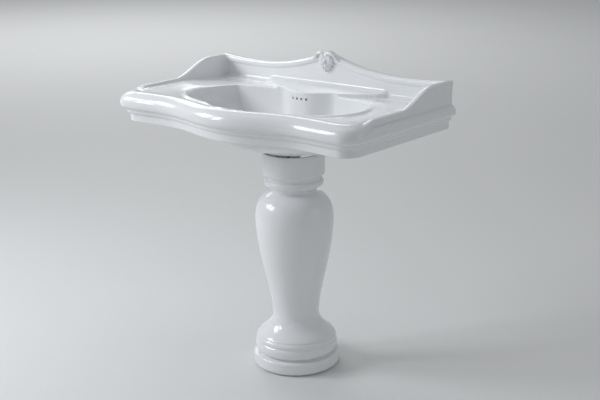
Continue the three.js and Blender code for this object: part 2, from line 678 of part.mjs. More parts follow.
function pedestal() {
  const outer = pedestalProfile();
  let body = turned([...outer, ...hollowProfile(), outer[0]], PEDESTAL_SIDES);
  const reach = PLINTH_R + 5;
  for (const side of [-1, 1]) {
    const near = side * (SLOT_HALF + GAP);
    const far = side * (SLOT_HALF + 42);
    const lug = block(Math.min(near, far), Math.max(near, far), FLOOR_SCREW_BACK - 22,
      FLOOR_SCREW_BACK + 22, 0, LUG_HEIGHT);
    const room = disc(PLINTH_HOLLOW_R + 4, 0, LUG_HEIGHT, PEDESTAL_SIDES);
    const hole = disc(FLOOR_SCREW_R + SLEEVE_WALL + 2 * GAP, -1, LUG_HEIGHT + 1, 16);
    const cut = hole.translate([side * FLOOR_SCREW_HALF, FLOOR_SCREW_BACK, 0]);
    body = body.add(lug.intersect(room)).subtract(cut);
  }
  return body.subtract(block(-SLOT_HALF, SLOT_HALF, 0, reach, -1, PEDESTAL_TOP + 1));
}

piece('pedestal', 'glaze', pedestal(), AXIS_Y);

PAD_ANGLES.forEach((angle, i) => {
  const turn = THREE.MathUtils.degToRad(angle);
  const reach = COLLAR_HOLLOW_R + PAD_R + GAP;
  const pad = disc(PAD_R, 0, PAD_HEIGHT, 20);
  piece(`seat_pad_${i + 1}`, 'rubber', pad, AXIS_Y + reach * Math.sin(turn), PEDESTAL_TOP + GAP,
    reach * Math.cos(turn));
});

// ---- Waste --------------------------------------------------------------------------------------

const FLANGE_Z = SEAT_Z + 2 * GAP + FOAM_THICK;
const FLANGE_TOP = FLANGE_Z + FLANGE_THICK;
const TAIL_Z = BOSS_Z - WASTE_TAIL;
const BRIDGE_Z = BOSS_Z + 2;
const BRIDGE_THICK = 6;
const STUB_R = 6;

function wasteBody() {
  let body = turned([[WASTE_BORE, TAIL_Z], [WASTE_R, TAIL_Z], [WASTE_R, FLANGE_Z],
    [FLANGE_R - 3, FLANGE_Z], [FLANGE_R, FLANGE_Z + 1], [FLANGE_R - 3, FLANGE_TOP],
    [WASTE_BORE, FLANGE_TOP], [WASTE_BORE, TAIL_Z]]);
  const bridge = block(-WASTE_R + 1, WASTE_R - 1, -5, 5, BRIDGE_Z, BRIDGE_Z + BRIDGE_THICK);
  body = body.add(bridge).add(disc(CARTRIDGE_R, BRIDGE_Z, BRIDGE_Z + BRIDGE_THICK));
  body = body.subtract(disc(STUB_R + GAP, BRIDGE_Z - 1, BRIDGE_Z + BRIDGE_THICK + 1));
  for (let i = 0; i < 2; i += 1) {
    const slot = block(-WASTE_R - 2, WASTE_R + 2, -5, 5, BRIDGE_Z + BRIDGE_THICK + 6,
      BRIDGE_Z + BRIDGE_THICK + 22);
    body = body.subtract(slot.rotate([0, 0, 45 + 90 * i]));
  }
  return body;
}

piece('waste_body', 'chrome', wasteBody(), WASTE_Y);
piece('flange_seal', 'rubber', ring(FLANGE_R - 1, WASTE_R + GAP, 0, FOAM_THICK), WASTE_Y, SEAT_Z + GAP);

const gasketTop = -GAP;
const gasketLow = gasketTop - GASKET_THICK;
const slipLow = gasketLow - GAP - SLIP_THICK;
const nutLow = slipLow - GAP - BACK_NUT_THICK;
piece('tapered_gasket', 'rubber', turned([[WASTE_R + GAP, gasketLow], [GASKET_R, gasketLow],
  [GASKET_R, gasketLow + 3], [THROAT_R + 2, gasketTop], [WASTE_R + GAP, gasketTop],
  [WASTE_R + GAP, gasketLow]]), WASTE_Y, BOSS_Z);
piece('slip_washer', 'white_plastic', ring(GASKET_R - 1, WASTE_R + GAP, slipLow, slipLow + SLIP_THICK),
  WASTE_Y, BOSS_Z);
piece('back_nut', 'brass', nut(BACK_NUT_ACROSS, WASTE_R + GAP, nutLow, nutLow + BACK_NUT_THICK),
  WASTE_Y, BOSS_Z);

const CARTRIDGE_Z = BRIDGE_Z + BRIDGE_THICK + GAP;
const CARTRIDGE_TOP = CARTRIDGE_Z + CARTRIDGE_LENGTH;
const SPRING_R = CARTRIDGE_R - 3;
const CARTRIDGE_FLOOR = CARTRIDGE_Z + 4;
const CAP_Z = FLANGE_TOP + 2 * GAP + 1.5;
const SPINDLE_LOW = CARTRIDGE_FLOOR + 9;

piece('plug_cartridge', 'brass', turned([[0, BRIDGE_Z - 6], [STUB_R, BRIDGE_Z - 6],
  [STUB_R, CARTRIDGE_Z], [CARTRIDGE_R, CARTRIDGE_Z], [CARTRIDGE_R, CARTRIDGE_TOP],
  [CARTRIDGE_R - 1.6, CARTRIDGE_TOP], [CARTRIDGE_R - 1.6, CARTRIDGE_FLOOR], [0, CARTRIDGE_FLOOR]]), WASTE_Y);
piece('plug_seal', 'rubber', ring(PLUG_SEAL_R, WASTE_BORE - 2, 0, 1.5), WASTE_Y, FLANGE_TOP + GAP);
piece('plug_cap', 'chrome', turned([[0, 0], [PLUG_R - 1, 0], [PLUG_R, 1.2], [PLUG_R - 2, 2.6],
  [PLUG_R * 0.6, PLUG_THICK - 0.8], [PLUG_R * 0.3, PLUG_THICK - 0.2], [0, PLUG_THICK]], 20), WASTE_Y, CAP_Z);
piece('plug_spindle', 'brass', turned([[0, SPINDLE_LOW], [SPRING_R + 0.8, SPINDLE_LOW],
  [SPRING_R + 0.8, SPINDLE_LOW + 3], [SPINDLE_R, SPINDLE_LOW + 3], [SPINDLE_R, CAP_Z - GAP],
  [0, CAP_Z - GAP]], 16), WASTE_Y);

/** A coil of wire between two heights. */
class Coil extends THREE.Curve {
  constructor(radius, low, high, turns) {
    super();
    Object.assign(this, { radius, low, high, turns });
  }

  getPoint(t, target = new THREE.Vector3()) {
    const angle = 2 * Math.PI * this.turns * t;
    const z = THREE.MathUtils.lerp(this.low, this.high, t);
    return target.set(this.radius * Math.cos(angle), this.radius * Math.sin(angle), z);
  }
}

/** A closed tube along a curve. */
function wire(curve, radius, steps, sides) {
  const section = new THREE.Shape();
  for (let i = 0; i < sides; i += 1) {
    const angle = (2 * Math.PI * i) / sides;
    const [x, y] = [radius * Math.cos(angle), radius * Math.sin(angle)];
    if (i === 0) section.moveTo(x, y);
    else section.lineTo(x, y);
  }
  section.closePath();
  return toSolid(new THREE.ExtrudeGeometry(section, { steps, extrudePath: curve, bevelEnabled: false }));
}

const wireR = SPRING_WIRE / 2;
const springLow = CARTRIDGE_FLOOR + GAP + wireR;
const springHigh = SPINDLE_LOW - GAP - wireR;
piece('plug_spring', 'zinc', wire(new Coil(SPRING_R, springLow, springHigh, SPRING_TURNS), wireR, 40, 5),
  WASTE_Y);

// ---- Bottle trap --------------------------------------------------------------------------------

const WASHER_THICK = 2.3;
const TUBE_TOP = TAIL_Z - WASHER_THICK - 2 * GAP;
const TUBE_FLANGE = 3.3;
const TUBE_BORE = TUBE_R - TUBE_WALL;
const LIP_BORE = TUBE_R + 0.5;
const couplingLow = TUBE_TOP - TUBE_FLANGE - GAP - 6;

piece('coupling_nut', 'chrome', turned([[LIP_BORE, couplingLow], [COUPLING_R - 2, couplingLow],
  [COUPLING_R, couplingLow + 3], [COUPLING_R, TAIL_Z + 14], [COUPLING_R - 2, TAIL_Z + 17],
  [WASTE_R + GAP, TAIL_Z + 17], [WASTE_R + GAP, couplingLow + 6], [LIP_BORE, couplingLow + 6],
  [LIP_BORE, couplingLow]]), WASTE_Y);
piece('coupling_washer', 'rubber', ring(WASTE_R - GAP, TUBE_R, 0, WASHER_THICK), WASTE_Y, TUBE_TOP + GAP);
const TUBE_LOW = TUBE_TOP - TUBE_LENGTH;
piece('dip_tube', 'chrome', turned([[TUBE_BORE, TUBE_LOW], [TUBE_R, TUBE_LOW],
  [TUBE_R, TUBE_TOP - TUBE_FLANGE], [WASTE_R - GAP, TUBE_TOP - TUBE_FLANGE], [WASTE_R - GAP, TUBE_TOP],
  [TUBE_BORE, TUBE_TOP], [TUBE_BORE, TUBE_LOW]]), WASTE_Y);

const BODY_TOP = OUTLET_Z + SPIGOT_R + 2;
const BODY_NECK = BODY_TOP + 6;
const CUP_TOP = OUTLET_Z - SPIGOT_R - 2;
const BODY_LOW = BODY_TOP - TRAP_HEIGHT - 17;
const SPIGOT_LENGTH = TRAP_R + 19;
const OUTLET_TURN = THREE.MathUtils.radToDeg(Math.atan2(OUTLET_SIDE, BACK - WASTE_Y));

/** A solid about the Z axis laid along the outlet, a distance from the waste's own axis. */
function alongOutlet(solid, distance) {
  return alongY(solid).translate([0, distance, OUTLET_Z]).rotate([0, 0, OUTLET_TURN]);
}

function trapBody() {
  let body = turned([[TRAP_R - TRAP_WALL, BODY_LOW], [TRAP_R, BODY_LOW], [TRAP_R, BODY_TOP],
    [SPIGOT_R, BODY_TOP], [SPIGOT_R, BODY_NECK], [LIP_BORE, BODY_NECK], [LIP_BORE, BODY_TOP - TRAP_WALL],
    [TRAP_R - TRAP_WALL, BODY_TOP - TRAP_WALL], [TRAP_R - TRAP_WALL, BODY_LOW]]);
  const hollow = disc(TRAP_R - TRAP_WALL, BODY_LOW - 1, BODY_TOP - TRAP_WALL);
  const inner = hollow.add(disc(LIP_BORE, OUTLET_Z, BODY_NECK + 1));
  const spigot = alongOutlet(disc(SPIGOT_R, 0, SPIGOT_LENGTH), 0).subtract(inner);
  const bore = alongOutlet(disc(TUBE_R + GAP, 2, SPIGOT_LENGTH + 1), 0);
  return body.add(spigot).subtract(bore);
}

/** A compression nut: a wide bore over a spigot, a narrow one round the tube, about the Z axis. */
function compressionNut(low) {
  const [bottom, shoulder, top] = [low, low + 9, low + 12.5];
  return turned([[SPIGOT_R + GAP, bottom], [OUTLET_NUT_R - 1, bottom], [OUTLET_NUT_R, bottom + 2],
    [OUTLET_NUT_R, top - 2], [OUTLET_NUT_R - 1, top], [LIP_BORE, top], [LIP_BORE, shoulder],
    [SPIGOT_R + GAP, shoulder], [SPIGOT_R + GAP, bottom]]);
}

piece('trap_body', 'chrome', trapBody(), WASTE_Y);
const coneRing = () => turned([[TUBE_R + GAP, 0], [SPIGOT_R - GAP, 0], [SPIGOT_R - 1, 2.3],
  [TUBE_R + GAP, 2.3], [TUBE_R + GAP, 0]]);
piece('inlet_cone', 'rubber', coneRing(), WASTE_Y, BODY_NECK + GAP);
piece('inlet_nut', 'chrome', compressionNut(0), WASTE_Y, BODY_NECK + 3 - 9);
piece('outlet_cone', 'rubber', alongOutlet(coneRing(), SPIGOT_LENGTH + GAP), WASTE_Y);
piece('outlet_nut', 'chrome', alongOutlet(compressionNut(0), SPIGOT_LENGTH + 3 - 9), WASTE_Y);

const CUP_LOW = CUP_TOP - CUP_HEIGHT;
const CUP_SEAT = BODY_LOW - 3;
piece('trap_cup', 'chrome', turned([[0, CUP_LOW], [CUP_R - 6, CUP_LOW], [CUP_R, CUP_LOW + 6],
  [CUP_R, CUP_TOP], [TRAP_R + GAP, CUP_TOP], [TRAP_R + GAP, CUP_SEAT], [TRAP_R - TRAP_WALL, CUP_SEAT],
  [TRAP_R - TRAP_WALL, CUP_LOW + TRAP_WALL], [0, CUP_LOW + TRAP_WALL]]), WASTE_Y);
piece('cup_seal', 'rubber', ring(TRAP_R, TRAP_R - TRAP_WALL + GAP, CUP_SEAT + GAP, BODY_LOW - GAP), WASTE_Y);

const pipe = alongOutlet(ring(TUBE_R, TUBE_BORE, TRAP_R + 6, DEPTH), 0);
const beyondWall = block(-DEPTH, DEPTH, BACK - WASTE_Y, 2 * DEPTH, OUTLET_Z - DEPTH, OUTLET_Z + DEPTH);
piece('outlet_pipe', 'chrome', pipe.subtract(beyondWall), WASTE_Y);
const rose = turned([[ROSE_BORE, 0], [ROSE_BORE + 2.4, 0], [ROSE_R - 2.5, ROSE_THICK * 0.5],
  [ROSE_R, ROSE_THICK - 1], [ROSE_R, ROSE_THICK], [ROSE_BORE, ROSE_THICK], [ROSE_BORE, 0]]);
piece('wall_rose', 'chrome', alongY(rose), BACK - ROSE_THICK, OUTLET_Z, -OUTLET_SIDE);

// ---- Fixings ------------------------------------------------------------------------------------

const BUSH_FLANGE_R = 14;
const BUSH_FLANGE = 2.5;
const inside = BACK - SKIRT_WALL - GAP;
const bushFace = inside - BUSH_FLANGE;
const washerFace = bushFace - GAP - 1.7;
const wallNutFace = washerFace - GAP - 8;
for (const [side, word] of [[-1, 'left'], [1, 'right']]) {
  const x = side * WALL_BOLT_HALF;
  const stud = disc(STUD_R, 0, BACK - wallNutFace + 8, 16);
  piece(`wall_stud_${word}`, 'zinc', alongY(stud), wallNutFace - 8, WALL_BOLT_Z, x);
  const bush = turned([[STUD_R + GAP, 0], [BUSH_FLANGE_R, 0], [BUSH_FLANGE_R, BUSH_FLANGE],
    [BUSH_R, BUSH_FLANGE], [BUSH_R, BACK - bushFace], [STUD_R + GAP, BACK - bushFace], [STUD_R + GAP, 0]], 20);
  piece(`wall_bush_${word}`, 'white_plastic', alongY(bush), bushFace, WALL_BOLT_Z, x);
  piece(`wall_washer_${word}`, 'zinc', alongY(ring(BUSH_FLANGE_R - 2, STUD_R + GAP, 0, 1.7, 20)),
    washerFace, WALL_BOLT_Z, x);
  const wallNut = nut(2 * (STUD_R + STUD_NUT_WALL), STUD_R + GAP, 0, 8);
  piece(`wall_nut_${word}`, 'zinc', alongY(wallNut), wallNutFace, WALL_BOLT_Z, x);
}

for (const [side, word] of [[-1, 'left'], [1, 'right']]) {
  const [x, y] = [side * FLOOR_SCREW_HALF, AXIS_Y + FLOOR_SCREW_BACK];
  const sleeveR = FLOOR_SCREW_R + GAP + SLEEVE_WALL;
  const lugTop = LUG_HEIGHT + GAP;
  const sleeve = turned([[FLOOR_SCREW_R + GAP, GAP], [sleeveR, GAP], [sleeveR, lugTop], [9, lugTop],
    [9, lugTop + 2], [FLOOR_SCREW_R + GAP, lugTop + 2], [FLOOR_SCREW_R + GAP, GAP]], 16);
  piece(`floor_sleeve_${word}`, 'white_plastic', sleeve, y, 0, x);
  const headLow = lugTop + 2 + GAP;
  const screw = turned([[0, GAP], [FLOOR_SCREW_R, GAP], [FLOOR_SCREW_R, headLow], [6.5, headLow],
    [6, headLow + 2.6], [3, headLow + 3.8], [0, headLow + 4]], 16);
  piece(`floor_screw_${word}`, 'zinc', screw, y, 0, x);
}

export default sink;
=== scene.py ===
"""The looks of a pedestal sink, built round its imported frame.

Metres and +Z up. The front of the sink faces -Y and its flat back stands at +Y, against a wall.
Each sub-assembly is a class that holds its sizes in millimetres and builds and dresses its own pieces.
"""

import logging
import math
from dataclasses import dataclass
from enum import Enum
from typing import Callable, Sequence, Union

import bpy
import numpy as np
from mathutils import Euler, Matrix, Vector


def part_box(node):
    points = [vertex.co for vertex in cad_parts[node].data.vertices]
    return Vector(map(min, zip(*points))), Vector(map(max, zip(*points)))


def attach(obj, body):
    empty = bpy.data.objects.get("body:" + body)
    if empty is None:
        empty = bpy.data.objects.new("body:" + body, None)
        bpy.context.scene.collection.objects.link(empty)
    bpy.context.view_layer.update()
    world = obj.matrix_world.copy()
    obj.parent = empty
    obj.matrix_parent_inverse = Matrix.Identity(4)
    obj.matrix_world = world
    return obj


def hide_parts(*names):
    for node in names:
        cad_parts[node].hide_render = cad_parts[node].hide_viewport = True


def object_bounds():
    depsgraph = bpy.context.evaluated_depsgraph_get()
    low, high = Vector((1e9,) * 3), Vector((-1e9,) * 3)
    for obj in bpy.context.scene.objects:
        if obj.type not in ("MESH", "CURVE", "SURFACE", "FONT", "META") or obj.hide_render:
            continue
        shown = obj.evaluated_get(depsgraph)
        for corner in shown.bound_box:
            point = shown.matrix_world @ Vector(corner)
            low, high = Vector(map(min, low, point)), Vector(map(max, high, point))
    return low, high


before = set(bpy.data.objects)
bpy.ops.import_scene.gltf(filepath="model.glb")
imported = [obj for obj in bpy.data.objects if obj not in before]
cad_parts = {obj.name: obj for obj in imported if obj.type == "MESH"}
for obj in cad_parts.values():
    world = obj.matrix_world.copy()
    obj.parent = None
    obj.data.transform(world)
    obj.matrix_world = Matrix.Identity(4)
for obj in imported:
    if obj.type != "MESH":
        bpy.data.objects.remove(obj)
CAD_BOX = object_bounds()

LOG = logging.getLogger("pedestal_sink")
MM = 0.001
ROOT = "root"
PLUG = "plug"

Number = Union[float, "Signal"]


# ---- Shader maths -------------------------------------------------------------------------------


class Signal:
    """A number that varies over a surface: wraps an output socket, so that sums read as Python."""

    def __init__(self, shader: "Shader", socket: bpy.types.NodeSocket) -> None:
        """Keeps the shader that the socket belongs to."""
        self.shader = shader
        self.socket = socket

    def _math(self, operation: str, *values: Number) -> "Signal":
        """Adds a Math node of these values and returns its result."""
        inputs = dict(enumerate(values))
        return self.shader.node("ShaderNodeMath", {"operation": operation}, inputs)

    def __add__(self, other: Number) -> "Signal":
        """This plus other."""
        return self._math("ADD", self, other)

    __radd__ = __add__

    def __sub__(self, other: Number) -> "Signal":
        """This minus other."""
        return self._math("SUBTRACT", self, other)

    def __rsub__(self, other: Number) -> "Signal":
        """Other minus this."""
        return self._math("SUBTRACT", other, self)

    def __mul__(self, other: Number) -> "Signal":
        """This times other."""
        return self._math("MULTIPLY", self, other)

    __rmul__ = __mul__

    def __truediv__(self, other: Number) -> "Signal":
        """This over other."""
        return self._math("DIVIDE", self, other)

    def smallest(self, other: Number) -> "Signal":
        """The smaller of this and other."""
        return self._math("MINIMUM", self, other)

    def largest(self, other: Number) -> "Signal":
        """The larger of this and other."""
        return self._math("MAXIMUM", self, other)

    def clipped(self) -> "Signal":
        """This, held between 0 and 1."""
        return self.largest(0.0).smallest(1.0)

    def step(self, start: float, end: float) -> "Signal":
        """0 at start and 1 at end, straight between them and flat beyond."""
        return ((self - start) / (end - start)).clipped()


class Shader:
    """One material's nodes, round a Principled surface."""

    def __init__(self, name: str) -> None:
        """Makes an empty material with a surface and an output.

        Args:
            name: the material's name.
        """
        self.material = bpy.data.materials.new(name)
        self.material.use_nodes = True
        self.tree = self.material.node_tree
        self.tree.nodes.clear()
        output = self.tree.nodes.new("ShaderNodeOutputMaterial")
        self.surface = self.tree.nodes.new("ShaderNodeBsdfPrincipled")
        self.tree.links.new(self.surface.outputs["BSDF"], output.inputs["Surface"])

    def node(self, kind: str, settings: dict, inputs: dict, output: Union[int, str] = 0) -> Signal:
        """Makes one node.

        Args:
            kind: the node's type name.
            settings: its own settings, set before its sockets. "stops" holds a ramp's places and colours.
            inputs: values or signals by socket name or number.
            output: the socket that is returned.

        Returns:
            The signal on that output.
        """
        made = self.tree.nodes.new(kind)
        for key, value in settings.items():
            if key == "stops":
                ramp = made.color_ramp
                while len(ramp.elements) < len(value):
                    ramp.elements.new(0.5)
                for element, (place, color) in zip(ramp.elements, value):
                    element.position = place
                    element.color = color
            else:
                setattr(made, key, value)
        for key, value in inputs.items():
            socket = made.inputs[key]
            if isinstance(value, Signal):
                self.tree.links.new(value.socket, socket)
            else:
                socket.default_value = value
        return Signal(self, made.outputs[output])

    def place(self) -> Signal:
        """The object's own coordinates, in metres."""
        return self.node("ShaderNodeTexCoord", {}, {}, "Object")

    def axis(self, vector: Signal, name: str) -> Signal:
        """One axis of a vector, by its letter."""
        return self.node("ShaderNodeSeparateXYZ", {}, {"Vector": vector}, name)

    def noise(self, scale: float, detail: float = 3.0, roughness: float = 0.5) -> Signal:
        """A noise of this scale over the object's coordinates."""
        values = {"Vector": self.place(), "Scale": scale, "Detail": detail, "Roughness": roughness}
        return self.node("ShaderNodeTexNoise", {}, values, 0)

    def mix(self, factor: Number, first: Sequence[float], second: Sequence[float]) -> Signal:
        """A colour between two, by factor."""
        values = {"Factor": factor, 6: as_color(first), 7: as_color(second)}
        return self.node("ShaderNodeMix", {"data_type": "RGBA"}, values, 2)

    def bump(self, height: Signal, strength: float, distance: float) -> Signal:
        """A bent normal from a height in metres-like units."""
        values = {"Height": height, "Strength": strength, "Distance": distance}
        return self.node("ShaderNodeBump", {}, values, "Normal")

    def put(self, socket: str, value: Union[Number, Sequence[float]]) -> None:
        """Sets or links one socket of the surface."""
        target = self.surface.inputs[socket]
        if isinstance(value, Signal):
            self.tree.links.new(value.socket, target)
        else:
            target.default_value = value


def as_color(value: Union[Signal, Sequence[float]]) -> Union[Signal, tuple]:
    """A colour with its alpha, or the signal as it is."""
    return value if isinstance(value, Signal) else (*value[:3], 1.0)


# ---- Finishes -----------------------------------------------------------------------------------


@dataclass(frozen=True)
class Glaze:
    """White sanitary glaze over a pale clay body, which shows where the glaze was wiped off."""

    name: str
    slot: str
    color: tuple = (0.83, 0.842, 0.86)
    clay: tuple = (0.66, 0.625, 0.57)
    roughness: float = 0.13
    bare_below: float = -1.0
    bare_behind: float = 9.0

    def material(self) -> bpy.types.Material:
        """Builds the material.

        Returns:
            The glazed material, with bare clay below bare_below and behind bare_behind, in metres.
        """
        shader = Shader(self.name)
        place = shader.place()
        ragged = (shader.noise(160.0) - 0.5) * 0.0016
        low = (shader.axis(place, "Z") + ragged).step(self.bare_below + 0.0006, self.bare_below)
        back = (shader.axis(place, "Y") + ragged).step(self.bare_behind - 0.0006, self.bare_behind)
        bare = low.largest(back)
        cloud = shader.noise(5.0, 2.0)
        warm = tuple(channel * factor for channel, factor in zip(self.color, (0.992, 0.985, 0.972)))
        glazed = shader.mix((cloud * 0.8).clipped(), self.color, warm)
        grain = shader.noise(900.0, 4.0, 0.65)
        body = shader.mix(grain, self.clay, tuple(channel * 1.12 for channel in self.clay))
        shader.put("Base Color", shader.mix(bare, glazed, body))
        shader.put("Roughness", (cloud * 0.035 + self.roughness) * (1 - bare) + bare * 0.82)
        shader.put("Coat Weight", (1 - bare) * 1.0)
        shader.put("Coat Roughness", 0.035)
        shader.put("Coat IOR", 1.52)
        shader.put("IOR", 1.5)
        peel = shader.noise(42.0, 2.0) * (1 - bare) * 0.35 + grain * bare
        shader.put("Normal", shader.bump(peel, 0.12, 0.0012))
        return shader.material


@dataclass(frozen=True)
class Metal:
    """A plated or turned metal with faint swirls and finger marks."""

    name: str
    slot: str
    color: tuple
    roughness: float
    streak: float = 0.05
    grain_scale: float = 260.0

    def material(self) -> bpy.types.Material:
        """Builds the material."""
        shader = Shader(self.name)
        smudge = shader.noise(38.0, 4.0, 0.6)
        grain = shader.noise(self.grain_scale, 3.0)
        dull = tuple(channel * 0.86 for channel in self.color)
        shader.put("Base Color", shader.mix(smudge.step(0.35, 0.8), self.color, dull))
        shader.put("Metallic", 1.0)
        shader.put("Roughness", smudge * self.streak + (self.roughness - self.streak / 2))
        shader.put("Normal", shader.bump(grain, 0.06, 0.0004))
        return shader.material


@dataclass(frozen=True)
class Polymer:
    """A moulded plastic or rubber with a fine matt texture."""

    name: str
    slot: str
    color: tuple
    roughness: float
    texture: float = 0.15

    def material(self) -> bpy.types.Material:
        """Builds the material."""
        shader = Shader(self.name)
        spread = shader.noise(55.0, 3.0)
        fine = shader.noise(1400.0, 2.0)
        dusty = tuple(min(1.0, channel * 1.18 + 0.01) for channel in self.color)
        shader.put("Base Color", shader.mix(spread.step(0.4, 0.75), self.color, dusty))
        shader.put("Roughness", spread * 0.12 + (self.roughness - 0.06))
        shader.put("Normal", shader.bump(fine, self.texture, 0.0003))
        return shader.material


class Finish(Enum):
    """Every finish of the sink."""

    BASIN = Glaze("basin_glaze", "basin_glaze", bare_behind=CAD_BOX[1].y - 0.0004)
    FOOT = Glaze("foot_glaze", "basin_glaze", bare_below=0.6975)
    PEDESTAL = Glaze("pedestal_glaze", "pedestal_glaze", bare_below=0.0022)
    CHROME = Metal("chrome_plate", "chrome", (0.80, 0.81, 0.82), 0.09)
    BRASS = Metal("turned_brass", "brass", (0.72, 0.53, 0.27), 0.27, 0.12, 420.0)
    ZINC = Metal("zinc_plate", "zinc", (0.56, 0.57, 0.56), 0.36, 0.14, 520.0)
    PLASTIC = Polymer("white_nylon", "white_plastic", (0.74, 0.74, 0.71), 0.42)
    RUBBER = Polymer("seal_rubber", "seal_rubber", (0.022, 0.022, 0.024), 0.7, 0.25)
    PADS = Polymer("pad_rubber", "pad_rubber", (0.06, 0.052, 0.045), 0.8, 0.3)

    @property
    def slot(self) -> str:
        """The record's slot for this finish."""
        return self.value.slot

    def dress(self, piece: bpy.types.Object) -> None:
        """Gives a piece this finish, made once and shared."""
        material = bpy.data.materials.get(self.value.name) or self.value.material()
        if piece.data.materials:
            for index in range(len(piece.data.materials)):
                piece.data.materials[index] = material
        else:
            piece.data.materials.append(material)


# ---- Mesh work ----------------------------------------------------------------------------------


def smooth(t: np.ndarray) -> np.ndarray:
    """0 below 0, 1 above 1, and a smooth step between."""
    held = np.clip(t, 0.0, 1.0)
    return held * held * (3.0 - 2.0 * held)


def hump(x: np.ndarray, half: float) -> np.ndarray:
    """1 at 0, falling smoothly to 0 at half and beyond."""
    return np.where(np.abs(x) < half, (1.0 + np.cos(np.pi * x / half)) / 2.0, 0.0)


def lerp(a: np.ndarray, b: np.ndarray, t: np.ndarray) -> np.ndarray:
    """A value between a and b."""
    return a + (b - a) * t


def bezier(start: tuple, first: tuple, second: tuple, end: tuple, steps: int) -> list:
    """Points of a cubic curve, without its start.

    Args:
        start: where the curve begins.
        first: its first handle.
        second: its second handle.
        end: where it ends.
        steps: how many points are returned.

    Returns:
        The points, each as (radius, height).
    """
    p = [np.array(point, float) for point in (start, first, second, end)]
    out = []
    for t in np.linspace(0.0, 1.0, steps + 1)[1:]:
        u = 1.0 - t
        point = u**3 * p[0] + 3 * u * u * t * p[1] + 3 * u * t * t * p[2] + t**3 * p[3]
        out.append(tuple(point))
    return out


def arc(centre: tuple, radius: float, start: float, end: float, steps: int) -> list:
    """Points of an arc between two angles in degrees, both ends included."""
    angles = np.radians(np.linspace(start, end, steps + 1))
    return [(centre[0] + radius * math.cos(a), centre[1] + radius * math.sin(a)) for a in angles]


def spline(values: np.ndarray, places: np.ndarray) -> np.ndarray:
    """A smooth curve through values at 0, 1, 2 and so on, read at the places."""
    padded = np.concatenate([[2 * values[0] - values[1]], values, [2 * values[-1] - values[-2]]])
    index = np.minimum(places.astype(int), len(values) - 2)
    t = places - index
    a, b, c, d = (padded[index + k] for k in range(4))
    return 0.5 * (2 * b + (c - a) * t + (2 * a - 5 * b + 4 * c - d) * t**2 + (3 * b - a - 3 * c + d) * t**3)


def make_mesh(name: str, points: np.ndarray, faces: list, sharp: float = 40.0) -> bpy.types.Object:
    """Makes a smooth-shaded piece from points in millimetres.

    Args:
        name: the piece's name.
        points: its points, one row each.
        faces: its faces, as lists of point numbers.
        sharp: edges that turn more than this many degrees stay crisp.

    Returns:
        The new object, in the scene.
    """
    mesh = bpy.data.meshes.new(name)
    mesh.from_pydata((np.asarray(points, float) * MM).tolist(), [], faces)
    mesh.validate()
    mesh.update()
    piece = bpy.data.objects.new(name, mesh)
    bpy.context.scene.collection.objects.link(piece)
    mesh.shade_smooth()
    mesh.set_sharp_from_angle(angle=math.radians(sharp))
    return piece


def skin(rings: np.ndarray, across: bool = False, around: bool = True, start: int = 0) -> list:
    """Quads over a grid of rings.

    Args:
        rings: points as [ring, station, xyz].
        across: whether the last ring joins the first.
        around: whether each ring closes on itself.
        start: the number of the grid's first point.

    Returns:
        The faces, as lists of point numbers.
    """
    levels, count = rings.shape[:2]
    faces = []
    for level in range(levels if across else levels - 1):
        upper = (level + 1) % levels
        for i in range(count if around else count - 1):
            j = (i + 1) % count
            faces.append([start + level * count + i, start + level * count + j,
                          start + upper * count + j, start + upper * count + i])
    return faces


def turned_rings(profile: Sequence[tuple], segments: int, wave: Callable = None) -> np.ndarray:
    """Rings of a turned body from (radius, height) points.

    Args:
        profile: the outline, in order.
        segments: how many stations each ring has.
        wave: a change of radius by angle and profile point number, or None.

    Returns:
        The rings as [ring, station, xyz].
    """
    angles = np.linspace(0.0, 2.0 * np.pi, segments, endpoint=False)
    rings = []
    for number, (radius, height) in enumerate(profile):
        reach = np.full(segments, float(radius))
        if wave is not None:
            reach = reach + wave(angles, number)
        rings.append(np.stack([reach * np.cos(angles), reach * np.sin(angles),
                               np.full(segments, float(height))], axis=1))
    return np.array(rings)


def turned(name: str, profile: Sequence[tuple], centre: tuple, segments: int = 64,
           wave: Callable = None, along_y: bool = False, sharp: float = 35.0) -> bpy.types.Object:
    """A closed body of revolution.

    Args:
        name: the piece's name.
        profile: (radius, height) points. It closes on itself, or starts and ends on the axis.
        centre: where its axis stands, as (x, y, z) in millimetres.
        segments: how many sides it has.
        wave: a change of radius by angle and profile point number, or None.
        along_y: whether its axis is laid along +Y.
        sharp: edges that turn more than this many degrees stay crisp.

    Returns:
        The new object.
    """
    on_axis = profile[0][0] == 0
    rings = turned_rings(profile[1:-1] if on_axis else profile, segments, wave)
    points = rings.reshape(-1, 3)
    faces = skin(rings, across=not on_axis)
    if on_axis:
        low, high = len(points), len(points) + 1
        points = np.vstack([points, [0, 0, profile[0][1]], [0, 0, profile[-1][1]]])
        last = (len(rings) - 1) * segments
        for i in range(segments):
            j = (i + 1) % segments
            faces.append([low, j, i])
            faces.append([high, last + i, last + j])
    if along_y:
        points = np.stack([points[:, 0], points[:, 2], -points[:, 1]], axis=1)
    piece = make_mesh(name, points + np.array(centre, float), faces, sharp)
    outward(piece)
    return piece


def outward(piece: bpy.types.Object) -> None:
    """Turns a closed piece's faces outwards."""
    mesh = piece.data
    mesh.calc_loop_triangles()
    co = np.array([vertex.co[:] for vertex in mesh.vertices])
    triangles = np.array([triangle.vertices[:] for triangle in mesh.loop_triangles])
    a, b, c = co[triangles[:, 0]], co[triangles[:, 1]], co[triangles[:, 2]]
    if np.einsum("ij,ij->i", a, np.cross(b, c)).sum() < 0:
        mesh.flip_normals()


